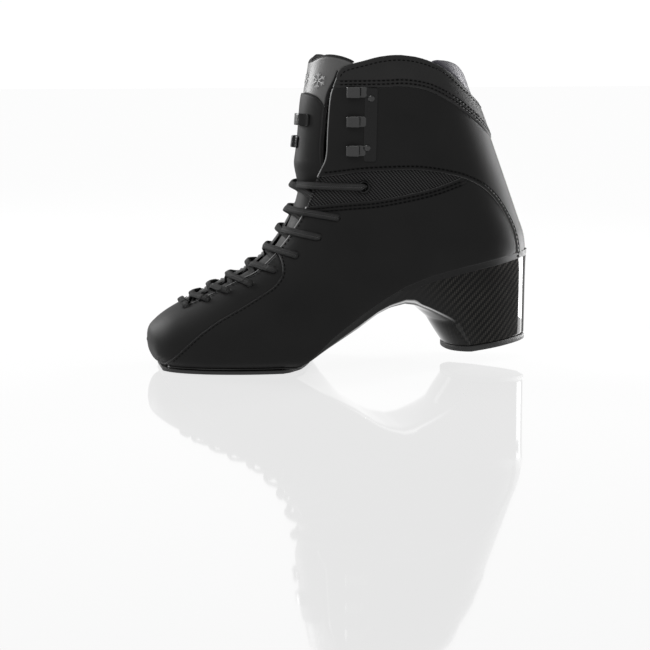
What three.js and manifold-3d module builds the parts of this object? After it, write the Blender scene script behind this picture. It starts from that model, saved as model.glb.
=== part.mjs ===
// A left figure-skate boot without its blade. Millimetres, +Z up, toe towards -X, outer side towards -Y.
// The origin is on the ground, below the middle of the boot.
import * as THREE from 'three';
import { mergeVertices } from 'three/addons/utils/BufferGeometryUtils.js';
import Module from 'manifold-3d';

const wasm = await Module();
wasm.setup();

// ---------------------------------------------------------------- driving dimensions

const GAP = 0.3;                 // clearance between neighbouring pieces
const LAYER_GAP = 0.4;           // clearance between the layers of the upper
const LEATHER = 2.2;             // outer leather and its backing
const STIFFENER = 2.0;           // toe box and heel counter
const LINING = 1.4;
const HALF_SPAN = 70;            // reach of a cutting prism to each side
const OUTER = -1;                // side of the boot, as the sign of y
const INNER = 1;

const EVERYWHERE = [[-200, -20], [200, -20], [200, 260], [-200, 260]];
const FAR = 160;
const SKY = 260;

// Fan of flat sections across the boot, from the toe over the instep and up the shaft:
// ridge x z, base x z, half width, depth of the widest point, roundness above and below, sideways shift.
const SECTIONS = [
  [-134.0, 22.0, -134.0, 18.0, 2.0, 0.50, 2.0, 2.0, 5.0],
  [-132.8, 28.0, -132.4, 11.0, 12.0, 0.50, 2.0, 2.0, 5.0],
  [-129.0, 33.0, -128.0, 5.0, 21.0, 0.55, 2.0, 2.6, 4.6],
  [-120.0, 40.0, -118.0, 2.4, 30.0, 0.60, 2.0, 3.4, 4.0],
  [-105.0, 48.5, -100.0, 2.0, 38.0, 0.68, 2.0, 4.0, 2.8],
  [-85.0, 59.5, -76.0, 2.0, 43.5, 0.74, 2.0, 4.0, 1.0],
  [-65.0, 70.5, -50.0, 2.0, 46.0, 0.76, 2.0, 4.0, 0.0],
  [-49.0, 85.0, -25.0, 2.2, 44.5, 0.74, 2.0, 4.0, 0.0],
  [-40.0, 99.5, -2.0, 17.0, 41.0, 0.70, 2.0, 4.0, 0.0],
  [-35.0, 115.0, 29.0, 38.0, 38.5, 0.66, 2.0, 4.0, 0.0],
  [-31.5, 131.0, 69.0, 50.0, 37.0, 0.62, 2.0, 4.0, 0.0],
  [-29.8, 143.0, 112.0, 61.0, 36.5, 0.57, 2.1, 3.6, 0.0],
  [-28.8, 150.0, 130.0, 72.0, 36.5, 0.54, 2.1, 2.6, 0.0],
  [-28.0, 157.0, 132.0, 85.0, 36.5, 0.52, 2.1, 2.3, 0.0],
  [-27.2, 166.0, 126.0, 103.0, 36.5, 0.50, 2.1, 2.2, 0.0],
  [-26.0, 180.0, 112.5, 139.5, 37.0, 0.50, 2.1, 2.1, 0.0],
  [-23.8, 192.0, 100.5, 171.0, 38.0, 0.50, 2.1, 2.1, 0.0],
  [-21.0, 208.0, 91.5, 191.0, 38.5, 0.50, 2.1, 2.1, 0.0],
  [-19.0, 226.0, 82.0, 216.0, 38.5, 0.50, 2.1, 2.1, 0.0],
];
const TOE_SECTIONS = 5;          // an inner layer's sections step back from the toe over these
const STEPS_PER_SECTION = 1;
const QUARTER_STEPS = 4;         // points from a section's ridge to its widest place, and on to its base

// Side-view outlines, x and z.
const SOLE_LINE = [              // where the upper meets the sole shell
  [-150, 4.6], [-38, 4.6], [-30, 9], [-22, 15.5], [-13, 23.5], [6, 37], [25, 49], [39, 57], [57, 63.5],
  [81, 69], [101, 73], [121, 76.5], [145, 79.5],
];
const ARCH_LINE = [              // underside of the sole shell, down to the heel plate
  [-150, 2.9], [-38, 2.9], [-30, 7.6], [-22, 12.6], [-13, 17.5], [6, 28], [20, 37.5], [29, 41.5], [40, 43.5],
  [47, 42], [53, 37], [59, 29], [65, 19], [70, 11.2],
];
const HEEL_FRONT = [70, 6.6];    // ground side of the heel plate
const HEEL_BACK = [134, 13.0];
const HEEL_PLATE = 4.0;
const HEEL_PLATE_EDGE = 0.7;     // the heel plate stands this far out all round
const HEEL_WALL = 3;
const HEEL_POCKET = [[90, 24], [126, 27], [126, 90], [72, 90], [72, 47], [84, 36]];
const NOSE_SHIFT = 5.5;          // how far the heel's rounded front lies behind ARCH_LINE in the middle
const NOSE_BEND = 9;             // and how much further it falls back at NOSE_REACH to each side
const NOSE_REACH = 26;
const NOSE_TOP = 43.5;           // the front starts to move back below this height
const NOSE_FADE = 14;
const NOSE_POWER = 2.5;
const ARCH_SPLIT = 40;           // x between the arch's start and the heel's front
const ARCH_SLANT = 0.35;         // the arch starts further back towards the inner side
const ARCH_SLANT_TOP = 28;       // below this height
const ARCH_SLANT_FADE = 25;
const ARCH_OUTER = -38;          // y where the slant begins
const ARCH_INNER = 32;           // and where it ends
const BELOW_ALL = -9;            // a height below the whole boot
const ARCH_SLICES = [-60, -36, -31, -26, -21, -15, -8, 0, 8, 15, 21, 26, 31, 36, 60];
const RAND_HEIGHT = 5;
const RAND_FIRST = 6;            // the rand starts at this point of SOLE_LINE
const HEEL_OVERRUN = 6;          // reach of the heel's flat cuts behind it
const RAND_THICK = 1.4;
const SHELL_BACK = 100;          // the shell's stations close in round the heel behind this
const SHELL_ROUND = 33.2;
const SHELL_STATIONS = [
  -122, -116, -106, -92, -76, -60, -44, -28, -20, -12, -4, 6, 16, 26, 36, 46, 54, 62, 70, 80, 92, 104,
  114, 121, 126, 129.5, 132, 133.2,
];
const SHELL_DROPS = [-3, 0, 3, 8, 18, 40, 80];

const PLATE_TOP = 2.6;           // forefoot plate
const PLATE_HEIGHT = 5.2;        // its outline is the hull's at this height
const PLATE_INSET = 0.8;
const PLATE_STATIONS = [-125.6, -124.6, -122, -117, -109, -97, -82, -66, -52, -40, -32, -10];
const PLATE_END = -12;           // behind the whole plate
const PLATE_LAST = -32;          // behind this its sides run straight back
const PLATE_SIDE_VIEW = [[-140, 5], [-140, 4], [-122, -0.001], [0, -0.001], [0, 5]];
const PLATE_PLAN = [             // its slanting, rounded rear end, x and y
  [-140, -60], [-50, -60], [-46, -44], [-41, -36], [-36.5, -31], [-32, -26], [-27.4, -17], [-21, -2],
  [-16.5, 13], [-14, 24], [-13.6, 31], [-15, 36], [-19, 44], [-19, 60], [-140, 60],
];

const COLLAR_LINE = [
  [-8, 197], [-6.5, 202], [-2, 205.5], [8, 208.5], [20, 211.5], [33, 213.5], [47, 212], [60, 209],
  [68, 206], [76, 201], [83, 195], [90, 188], [99, 179.5],
];
const INNER_COLLAR_LINE = [      // the collar is a little lower on the inner side
  [-8, 195.5], [-6.5, 198.5], [-2, 201], [8, 203.5], [20, 206], [33, 208.5], [47, 209], [60, 208],
  [68, 206], [76, 201], [83, 195], [90, 188], [99, 179.5],
];
const BAND_LINE = [              // lower edge of the collar band
  [-40, 190], [18, 191], [36, 191.5], [53, 188.5], [70, 180.5], [84, 171.5], [95, 163.5], [112, 150],
];
const CUFF_LINE = [              // lower edge of the cuff, then the front edge of its back strip
  [-40, 128], [-11, 132], [13, 135], [40, 136], [54, 135], [66, 133], [80, 129.5], [93, 123.5],
  [102, 116.5], [109, 108.5], [115, 99], [119, 90], [121, 81], [122, 70],
];
const QUARTER_TOP = [
  [-40, 109], [-21, 112], [-3, 114], [20, 116], [43, 120], [60, 124], [78, 129.9],
];
const TOE_SEAM = [               // rear edge of the toe panel
  [-128, 0], [-121.5, 9], [-105, 26], [-90, 37], [-72, 47], [-61, 53.5], [-53, 58.5],
  [-47, 65], [-45.5, 71], [-46.5, 78], [-50, 85], [-60, 100],
];
const FACING_EDGE = [            // from the collar down to the toe
  [-8, 197], [-13, 185], [-15, 165], [-16, 145], [-18.5, 136], [-21.5, 127], [-25, 117], [-29.5, 107],
  [-35, 97.5], [-40, 90], [-46, 82.5], [-54, 74.5], [-63, 67.4], [-72, 63], [-85, 56.6], [-98, 50],
  [-107.5, 45.6],
];
const EYELETS = [                // from the toe up; the last is a metal ring
  [-108.5, 44.5], [-95, 49.5], [-82, 55], [-67, 60], [-51, 69], [-36, 79], [-21, 91], [-8, 104], [10, 124.5],
];
const CROSSINGS = [              // where the strands between two rows of eyelets cross, on the ridge
  [-103, 50], [-91, 56.5], [-78, 63.5], [-64, 71.5], [-52, 82.5], [-42.5, 95], [-37, 108.5], [-32.8, 125],
];

const EYELET_RING = EYELETS.at(-1);
const PUNCHED = EYELETS.slice(0, -1);
const RING_HOLE = 3.5;           // radii
const RING_INNER = 2.7;
const RING_FLANGE = 4.4;

// Outlines of the masks that cut the layers into pieces.
const CUFF_MASK = [...CUFF_LINE, [170, 70], [170, 150], ...BAND_LINE.slice().reverse()];
const MESH_MASK = [...QUARTER_TOP, ...CUFF_LINE.slice(0, 7).reverse()];
const TOE_MASK = [...TOE_SEAM, [-160, 100], [-160, 0]];
const LINING_EDGE = [            // front edge of the lining and of the stiff layer
  [-4, 200], [-8, 180], [-9, 160], [-8, 140], [-4, 120], [-1, 107], [-6, 94], [-18, 80], [-32, 68],
  [-48, 57], [-64, 49], [-80, 43], [-95, 38], [-112, 34], [-118, 36],
];
const TOE_BOX_MASK = [[-140, 0], [-86, 0], [-88, 30], [-96, 44], [-110, 60], [-140, 60]];
const COUNTER_MASK = [[20, 20], [150, 60], [150, 120], [100, 126], [84, 112], [62, 92], [34, 80]];
const PAD_MASK = [[-12, 110], [58, 92.5], [82, 113], [99, 127.5], [140, 122], [140, 230], [-12, 230]];
const COLLAR_PAD_MASK = [[58, 215], [62, 186], [74, 160], [88, 150], [140, 150], [140, 215]];

const COLLAR_PAD_BACK = [[140, 176], [140, 100], [60, 100]];

const BOARD_TOP = 3.2;           // height of the lasting board's top over the sole line
const FOOTBED = 4;
const WALL = 6.8;                // depth of the lining's inner face below the outside
const TONGUE_LAYERS = [          // name, outer depth, inner depth, finish
  ['cover', 0, 1.6, 'leather'],
  ['foam', 1.9, 6.4, 'padding'],
  ['lining', 6.7, 7.9, 'lining'],
];
const TONGUE_SINK = 6.8;         // the lower tongue lies this far below the facings, under the lace
const FOLD_HEIGHT = 135;         // the tongue folds forward here, above the top crossing of the lace
const TONGUE_TOP = [
  [-6.6, 202.6], [-2.2, 206.2], [2.5, 208], [-5, 211.5], [-13, 213], [-18, 211.5], [-22, 208], [-60, 205],
];
const PATCH_LINE = [[-60, 187], [-24, 186.5], [-12, 174], [12, 148]];
const WING_EDGE = [              // side edges of the lower tongue, below the facings
  [2, 134.7], [0, 120], [-4, 108], [-12, 96], [-24, 83], [-38, 71], [-54, 61], [-70, 52], [-85, 47],
  [-98, 42.5], [-109, 39],
];
const GUIDES = [                 // lace guides on the tongue: word, z, y of one side, y of the other
  ['upper', 169, -13, 4],
  ['lower', 153.5, -3, 14],
];
const GUIDE_HEIGHT = 8;
const GUIDE_FOOT = 4;
const GUIDE_ROOM = 2;            // gap under a guide's bridge
const STEEL = 1.0;
const HOOK_ROWS = [188, 168.5, 149];
const HOOK_HEIGHT = 7;
const HOOK_FRONT = -1;
const HOOK_TIP = 7;
const HOOK_PLATE = [[10, 142], [18, 142], [18, 190.8], [10, 190.8]];
const HOOK_ROOM = 2.6;           // gap behind a hook's lip
const RIVETS = [[14, 184], [12, 151]];
const RIVET_HOLE = 1.7;          // radii
const RIVET_HEAD = 2.5;
const RIVET_DOME = 1.1;

const PAD_THICK = 8;
const PAD_LIP = 0.8;             // the collar pad's rim stands almost as wide as the boot
const PAD_TOP = [[60, 209.4], [70, 208.6], [79, 206], [85, 201.5], [88.5, 195], [91, 188], [99, 176]];

const LACE_WIDTH = 4.4;
const LACE_THICK = 1.8;
const LACE_HOLE = 2.5;           // radius
const OVER = -1.3;               // depths of the lace's centre line: over the leather, in a hole, below it
const IN_HOLE = [-0.6, 3.6];
const IN_RING = [-3, 1.6, 7.2];
const RING_APPROACH = -3.1;
const UNDER = 4.7;
const PRESS = 0.25;              // the leather is dented this far round the lace
const STRAND_CROSSING = [1.8, -0.9];   // depths of the two strands where they cross
const BAR_MIDDLE = [-109.6, 46.4];     // the lace's middle, across the lowest eyelets
const BAR_SHIFT = 3.2;
const TAIL_DIAMETER = 4.4;
const TAIL_START = 8.8;
const TAIL_ROUTE = [             // down the inside of the shaft and back along the footbed, for the inner side
  [10.6, 21.5, 124], [12, 17.6, 119], [13, 16.5, 110], [13.5, 17, 95], [14.5, 17.5, 80], [17, 18.2, 68],
  [22.5, 19.6, 61.4], [31, 21.4, 63.0], [42, 23.4, 68.8],
];
const COIL = { x: 76.5, rise: 75.8, slope: 0.213, inner: 18, outer: 26.8, thick: 13.2 };
const AGLET = { radius: 1.7, length: 22, y: 6 };

// ---------------------------------------------------------------- solids

function solid(geometry) {
  const bare = geometry.index ? geometry.toNonIndexed() : geometry.clone();
  bare.deleteAttribute('normal');
  bare.deleteAttribute('uv');
  const merged = mergeVertices(bare, 1e-4);
  return new wasm.Manifold(new wasm.Mesh({
    numProp: 3,
    vertProperties: new Float32Array(merged.attributes.position.array),
    triVerts: new Uint32Array(merged.index.array),
  }));
}

function geometryOf(manifold) {
  const mesh = manifold.getMesh();
  const geometry = new THREE.BufferGeometry();
  geometry.setAttribute('position', new THREE.BufferAttribute(mesh.vertProperties, 3));
  geometry.setIndex(new THREE.BufferAttribute(mesh.triVerts, 1));
  return geometry;
}

// Closed loft through rings of points, all of one length, with a flat cap at each end.
function loft(rings) {
  const size = rings[0].length;
  const triangles = [];
  for (let i = 0; i + 1 < rings.length; i += 1) {
    for (let j = 0; j < size; j += 1) {
      const k = (j + 1) % size;
      triangles.push(rings[i][j], rings[i][k], rings[i + 1][k]);
      triangles.push(rings[i][j], rings[i + 1][k], rings[i + 1][j]);
    }
  }
  const [first, last] = [rings[0], rings.at(-1)];
  const middle = (ring) => ring.reduce((sum, p) => sum.add(p), new THREE.Vector3()).divideScalar(size);
  const [start, end] = [middle(first), middle(last)];
  for (let j = 0; j < size; j += 1) {
    const k = (j + 1) % size;
    triangles.push(start, first[k], first[j]);
    triangles.push(end, last[j], last[k]);
  }
  return solid(new THREE.BufferGeometry().setFromPoints(triangles));
}

// Side-view outline (x, z) pushed through across the boot, from one y to another.
function prism(outline, low = -HALF_SPAN, high = HALF_SPAN) {
  const shape = new THREE.Shape(outline.map(([x, z]) => new THREE.Vector2(x, z)));
  const geometry = new THREE.ExtrudeGeometry(shape, { depth: high - low, bevelEnabled: false });
  geometry.rotateX(Math.PI / 2);
  geometry.translate(0, high, 0);
  return solid(geometry);
}

// An outline moved outwards by a distance, or inwards where it is negative.
function grow(outline, distance) {
  const points = outline.map(([x, z]) => new THREE.Vector2(x, z));
  const turn = Math.sign(THREE.ShapeUtils.area(points));
  return points.map((point, i) => {
    const before = points.at(i - 1);
    const after = points[(i + 1) % points.length];
    const a = point.clone().sub(before).normalize();
    const b = after.clone().sub(point).normalize();
    const normal = new THREE.Vector2(a.y + b.y, -(a.x + b.x)).normalize();
    const reach = (turn * distance) / Math.max(0.5, normal.dot(new THREE.Vector2(a.y, -a.x)));
    return [point.x + normal.x * reach, point.y + normal.y * reach];
  });
}

// One side of the boot, up to the middle seam.
function half(side) {
  return side === OUTER ? prism(EVERYWHERE, -HALF_SPAN, -GAP / 2) : prism(EVERYWHERE, GAP / 2, HALF_SPAN);
}

function joined(solids) {
  return solids.reduce((sum, next) => sum.add(next));
}

// ---------------------------------------------------------------- the hull of the boot

function catmull(a, b, c, d, t) {
  const square = 2 * a - 5 * b + 4 * c - d;
  const cube = 3 * b - a - 3 * c + d;
  return 0.5 * (2 * b + (c - a) * t + square * t * t + cube * t * t * t);
}

// A section between the listed ones, u counting along SECTIONS, for a layer some way below the surface.
function section(u, depth = 0) {
  const last = SECTIONS.length - 1;
  const i = Math.min(Math.floor(u), last - 1);
  const rows = [Math.max(i - 1, 0), i, i + 1, Math.min(i + 2, last)].map((k) => SECTIONS[k]);
  const value = (k) => catmull(rows[0][k], rows[1][k], rows[2][k], rows[3][k], u - i);
  const ridge = new THREE.Vector2(value(0), value(1));
  const base = new THREE.Vector2(value(2), value(3));
  const centre = ridge.clone().add(base).divideScalar(2);
  const reach = ridge.distanceTo(base) / 2;
  const shrink = (size) => size - (depth * size) / (size + Math.abs(depth));
  const stepBack = depth * Math.max(0, 1 - u / TOE_SECTIONS);
  const scale = shrink(reach) / reach;
  const place = (p) => p.clone().sub(centre).multiplyScalar(scale).add(centre)
    .add(new THREE.Vector2(stepBack, 0));
  return {
    ridge: place(ridge),
    base: place(base),
    width: shrink(value(4)),
    widest: value(5),
    above: value(6),
    below: value(7),
    shift: value(8),
  };
}

function at(part, along, across) {
  const p = part.ridge.clone().lerp(part.base, along);
  return new THREE.Vector3(p.x, part.shift + across, p.y);
}

function ring(part) {
  const outer = [];
  for (let j = 0; j <= QUARTER_STEPS; j += 1) {
    const a = (j / QUARTER_STEPS) * (Math.PI / 2);
    outer.push([part.widest * (1 - Math.cos(a) ** (2 / part.above)), Math.sin(a) ** (2 / part.above)]);
  }
  for (let j = 1; j <= QUARTER_STEPS; j += 1) {
    const a = (j / QUARTER_STEPS) * (Math.PI / 2);
    const along = part.widest + (1 - part.widest) * Math.sin(a) ** (2 / part.below);
    outer.push([along, Math.abs(Math.cos(a)) ** (2 / part.below)]);
  }
  const inner = outer.slice(1, -1).reverse();
  return [
    ...outer.map(([along, across]) => at(part, along, OUTER * across * part.width)),
    ...inner.map(([along, across]) => at(part, along, INNER * across * part.width)),
  ];
}

function hull(depth) {
  const rings = [];
  const steps = (SECTIONS.length - 1) * STEPS_PER_SECTION;
  for (let i = 0; i <= steps; i += 1) {
    rings.push(ring(section(i / STEPS_PER_SECTION, depth)));
  }
  return loft(rings);
}

function halfWidth(part, along) {
  if (along < part.widest) {
    return part.width * (1 - (1 - along / part.widest) ** part.above) ** (1 / part.above);
  }
  const down = Math.min(1, (along - part.widest) / (1 - part.widest));
  return part.width * (1 - down ** part.below) ** (1 / part.below);
}

// The place on the hull that is seen at (x, z) from one side.
function onHull([x, z], side, depth = 0) {
  let [low, high] = [0, SECTIONS.length - 1];
  for (let i = 0; i < 40; i += 1) {
    const middle = (low + high) / 2;
    const { ridge, base } = section(middle);
    const ahead = (base.x - ridge.x) * (z - ridge.y) - (base.y - ridge.y) * (x - ridge.x);
    [low, high] = ahead > 0 ? [middle, high] : [low, middle];
  }
  const outside = section(low);
  const line = outside.base.clone().sub(outside.ridge);
  const share = new THREE.Vector2(x, z).sub(outside.ridge).dot(line) / line.lengthSq();
  const along = Math.min(1, Math.max(0, share));
  const part = section(low, depth);
  return at(part, along, side * halfWidth(part, along));
}

function normalAt(place, side) {
  const [x, z] = place;
  const a = onHull([x + 2, z], side).sub(onHull([x - 2, z], side));
  const b = onHull([x, z + 2], side).sub(onHull([x, z - 2], side));
  const normal = a.cross(b).normalize();
  return normal.y * side > 0 ? normal : normal.negate();
}

const surfaces = new Map();

function surface(depth) {
  if (!surfaces.has(depth)) {
    surfaces.set(depth, hull(depth));
  }
  return surfaces.get(depth);
}

function layer(low, high) {
  return surface(low).subtract(surface(high));
}

// ---------------------------------------------------------------- masks in side view

function raised(line, rise) {
  return line.map(([x, z]) => [x, z + rise]);
}

function above(line, rise = 0) {
  return prism([...raised(line, rise), [line.at(-1)[0], SKY], [line[0][0], SKY]]);
}

function between(line, low, high) {
  return prism([...raised(line, low), ...raised(line, high).reverse()]);
}

// Everything in front of a line that runs down the front of the boot, cut back from it by a distance.
function inFront(line, back = 0) {
  return prism(grow([[line[0][0], SKY], ...line, [-FAR, line.at(-1)[1] + 20], [-FAR, SKY]], -back));
}

function belowCollar(drop) {
  const side = (line, low, high) => (
    prism([[-FAR, -20], [-FAR, line[0][1]], ...raised(line, -drop), [FAR, 140], [FAR, -20]], low, high));
  return side(COLLAR_LINE, -HALF_SPAN, 0).add(side(INNER_COLLAR_LINE, 0, HALF_SPAN));
}

// ---------------------------------------------------------------- the parts

const boot = new THREE.Group();
const MATERIALS = {
  leather: { color: 0x1b1b1c, roughness: 0.72, metalness: 0 },
  mesh: { color: 0x141415, roughness: 0.85, metalness: 0 },
  padding: { color: 0x2a2a2c, roughness: 0.9, metalness: 0 },
  lining: { color: 0x242426, roughness: 0.6, metalness: 0 },
  board: { color: 0x8a6f4f, roughness: 0.85, metalness: 0 },
  carbon: { color: 0x0c0c0e, roughness: 0.12, metalness: 0.1 },
  rubber: { color: 0x101011, roughness: 0.55, metalness: 0 },
  metal: { color: 0x2b2b2d, roughness: 0.3, metalness: 0.9 },
  lace: { color: 0x2d2d30, roughness: 0.9, metalness: 0 },
  tip: { color: 0x111113, roughness: 0.25, metalness: 0 },
};

function add(name, shape, finish) {
  const mesh = new THREE.Mesh(geometryOf(shape), new THREE.MeshStandardMaterial(MATERIALS[finish]));
  mesh.name = name;
  boot.add(mesh);
}

// A round bar along the outward direction at a place on the hull, between two depths.
function bar(place, side, radius, low, high, sides = 8) {
  const normal = normalAt(place, side);
  const turn = new THREE.Quaternion().setFromUnitVectors(new THREE.Vector3(0, 1, 0), normal);
  const geometry = new THREE.CylinderGeometry(radius, radius, high - low, sides);
  geometry.applyQuaternion(turn);
  const centre = onHull(place, side).addScaledVector(normal, -(low + high) / 2);
  geometry.translate(centre.x, centre.y, centre.z);
  return solid(geometry);
}

function holes(places, side, radius, low = -4, high = 12, sides = 8) {
  return joined(places.map((place) => bar(place, side, radius, low, high, sides)));
}

function addUpper() {
  const punched = [OUTER, INNER].map((side) => holes(PUNCHED, side, LACE_HOLE, -4, 5));
  let rest = layer(0, LEATHER).intersect(above(SOLE_LINE)).subtract(inFront(FACING_EDGE));
  rest = rest.intersect(belowCollar(0));
  add('collar_band', rest.intersect(above(BAND_LINE)), 'leather');
  rest = rest.subtract(above(BAND_LINE, -GAP));

  const cuff = rest.intersect(prism(CUFF_MASK));
  rest = rest.subtract(prism(grow(CUFF_MASK, GAP)));
  const toe = rest.intersect(prism(TOE_MASK));
  rest = rest.subtract(prism(grow(TOE_MASK, GAP)));
  const mesh = rest.intersect(prism(MESH_MASK));
  rest = rest.subtract(prism(grow(MESH_MASK, GAP)));

  const dents = laceStrip(PRESS);
  add('toe_panel', toe.subtract(joined(punched)).subtract(dents), 'leather');
  [[OUTER, 'lateral'], [INNER, 'medial']].forEach(([side, word], i) => {
    add(`quarter_${word}`, rest.intersect(half(side)).subtract(punched[i]).subtract(dents), 'leather');
    add(`cuff_${word}`, cuff.intersect(half(side)).subtract(holes(RIVETS, side, RIVET_HOLE)), 'leather');
    const ringHole = holes([EYELET_RING], side, RING_HOLE, -4, 12, 16);
    const knit = mesh.intersect(half(side)).subtract(ringHole);
    add(`mesh_insert_${word}`, knit.subtract(dents), 'mesh');
  });
}

function addStiffening() {
  const low = LEATHER + LAYER_GAP;
  const wall = layer(low, low + STIFFENER).intersect(above(SOLE_LINE, BOARD_TOP));
  const open = wall.subtract(inFront(LINING_EDGE));
  add('toe_box', open.intersect(prism(TOE_BOX_MASK)), 'board');
  add('heel_counter', open.intersect(prism(COUNTER_MASK)), 'board');
  let pads = open.intersect(prism(PAD_MASK)).intersect(belowCollar(3));
  pads = pads.subtract(prism(grow(COLLAR_PAD_MASK, GAP)));
  [[OUTER, 'lateral'], [INNER, 'medial']].forEach(([side, word]) => {
    const ringHole = holes([EYELET_RING], side, LACE_HOLE);
    add(`ankle_pad_${word}`, pads.intersect(half(side)).subtract(ringHole), 'padding');
  });
}

function addLining() {
  const low = LEATHER + STIFFENER + 2 * LAYER_GAP;
  const ringHoles = joined([OUTER, INNER].map((side) => holes([EYELET_RING], side, LACE_HOLE)));
  let lining = layer(low, low + LINING).intersect(above(SOLE_LINE, BOARD_TOP));
  lining = lining.subtract(inFront(LINING_EDGE)).intersect(belowCollar(1.5)).subtract(ringHoles);
  add('lining', lining.subtract(prism(grow(COLLAR_PAD_MASK, GAP))), 'lining');
}

// A roll that fills the low back of the collar and stands above its edge.
function addCollarPad() {
  const roll = prism([...PAD_TOP, ...COLLAR_PAD_BACK]);
  const core = layer(LEATHER + LAYER_GAP, PAD_THICK).intersect(prism(COLLAR_PAD_MASK));
  const lip = layer(PAD_LIP, PAD_THICK).intersect(above(COLLAR_LINE, LAYER_GAP));
  add('collar_pad', core.add(lip).intersect(roll), 'padding');
}

function addFootbed() {
  const board = surface(LEATHER + LAYER_GAP).intersect(between(SOLE_LINE, GAP, BOARD_TOP - GAP));
  add('lasting_board', board.subtract(surface(0).subtract(surface(LEATHER + LAYER_GAP))), 'board');
  const bed = surface(WALL).intersect(between(SOLE_LINE, BOARD_TOP, BOARD_TOP + FOOTBED));
  add('footbed', bed, 'padding');
}

// Everything between two distances to the inner side of the middle.
function slab(low, high) {
  return prism(EVERYWHERE, low, high);
}

function addTongue() {
  const upperMask = [
    [-60, FOLD_HEIGHT], [-18.4, FOLD_HEIGHT], ...FACING_EDGE.slice(0, 4).reverse(), ...TONGUE_TOP,
  ];
  const upper = prism(grow(upperMask, -LAYER_GAP));
  const lower = inFront(WING_EDGE).intersect(prism([[-FAR, 0], [60, 0], [60, 134.7], [-FAR, 134.7]]));
  TONGUE_LAYERS.forEach(([word, low, high, finish]) => {
    const sheet = layer(low, high).intersect(upper);
    if (word === 'cover') {
      add('tongue_top_patch', sheet.intersect(above(PATCH_LINE)), finish);
      add('tongue_upper_cover', sheet.subtract(above(PATCH_LINE, -GAP)), finish);
    } else {
      add(`tongue_upper_${word}`, sheet, finish);
    }
    const sunk = layer(low + TONGUE_SINK, high + TONGUE_SINK).intersect(lower);
    add(`tongue_lower_${word}`, sunk.subtract(laceStrip(PRESS)), finish);
  });
}

// A bridge of bent sheet that a lace runs under, lying on the tongue.
function addGuides() {
  GUIDES.forEach(([word, z, left, right]) => {
    const [low, high] = [z - GUIDE_HEIGHT / 2, z + GUIDE_HEIGHT / 2];
    const band = prism([[-60, low], [-17, low], [-17, high], [-60, high]]);
    const under = -GAP - STEEL - GUIDE_ROOM;
    const foot = layer(-GAP - STEEL, -GAP);
    const bridge = layer(under - STEEL, under);
    const wall = layer(under - STEEL, -GAP);
    const reach = GUIDE_FOOT - STEEL;
    const shape = joined([
      foot.intersect(slab(left, left + GUIDE_FOOT)),
      foot.intersect(slab(right - GUIDE_FOOT, right)),
      wall.intersect(slab(left + reach, left + GUIDE_FOOT)),
      wall.intersect(slab(right - GUIDE_FOOT, right - reach)),
      bridge.intersect(slab(left + reach, right - reach)),
    ]);
    add(`tongue_guide_${word}`, shape.intersect(band), 'metal');
  });
}

// A plate with three arms that bend forward, out and back into lips.
function hookShape() {
  const sheet = [-GAP - STEEL, -GAP];
  const lip = [sheet[0] - HOOK_ROOM - STEEL, sheet[0] - HOOK_ROOM];
  const rows = (from, to) => joined(HOOK_ROWS.map((z) => {
    const [low, high] = [z - HOOK_HEIGHT / 2, z + HOOK_HEIGHT / 2];
    return prism([[from, low], [to, low], [to, high], [from, high]]);
  }));
  const arms = rows(HOOK_FRONT, HOOK_PLATE[0][0] + 1);
  const bends = layer(lip[0], sheet[1]).intersect(rows(HOOK_FRONT, HOOK_FRONT + STEEL));
  const lips = layer(...lip).intersect(rows(HOOK_FRONT, HOOK_TIP));
  return layer(...sheet).intersect(prism(HOOK_PLATE).add(arms)).add(bends).add(lips);
}

function addHooks() {
  const shape = hookShape();
  const top = -2 * GAP - STEEL;
  [[OUTER, 'lateral'], [INNER, 'medial']].forEach(([side, word]) => {
    const plate = shape.intersect(half(side));
    add(`hook_plate_${word}`, plate.subtract(holes(RIVETS, side, RIVET_HOLE)), 'metal');
    RIVETS.forEach((place, i) => {
      const head = bar(place, side, RIVET_HEAD, top - RIVET_DOME, top, 12);
      const shank = bar(place, side, RIVET_HOLE - GAP, top - RIVET_DOME / 2, LEATHER - GAP, 12);
      add(`hook_rivet_${word}_${i + 1}`, head.add(shank), 'metal');
    });
    const flange = bar(EYELET_RING, side, RING_FLANGE, -GAP - RIVET_DOME, -GAP, 16);
    const barrel = bar(EYELET_RING, side, RING_HOLE - GAP, -GAP - STEEL, LEATHER, 16);
    const ringHole = bar(EYELET_RING, side, RING_INNER, -4, 4, 16);
    add(`eyelet_ring_${word}`, flange.add(barrel).subtract(ringHole), 'metal');
  });
}

// Height of a side-view line at a given x.
function height(line, x) {
  const i = line.findIndex((p) => p[0] >= x);
  const [[x0, z0], [x1, z1]] = [line[i - 1], line[i]];
  return z0 + ((z1 - z0) * (x - x0)) / (x1 - x0);
}

// Walls that drop from the upper's lower edge and draw in as they go down.
function shellBody(inset) {
  const rings = SHELL_STATIONS.map((x) => {
    const back = Math.max(0, (x - SHELL_BACK) / SHELL_ROUND);
    const top = height(SOLE_LINE, x);
    const place = [x - 2.2 * back * back, top + 0.4];
    const wall = (side) => {
      const edge = onHull(place, side);
      return SHELL_DROPS.map((drop) => {
        const below = Math.max(drop, 0);
        const drawn = 0.5 + inset + 3.5 * (1 - Math.exp(-below / 7)) + 0.05 * below;
        const size = Math.abs(edge.y);
        const y = edge.y * (1 - drawn / (size + Math.abs(drawn)));
        return new THREE.Vector3(x - inset * back, y, top - drop);
      });
    };
    return [...wall(OUTER), ...wall(INNER).reverse()];
  });
  return loft(rings);
}

function clamp(value, low = 0, high = 1) {
  return Math.min(high, Math.max(low, value));
}

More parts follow.
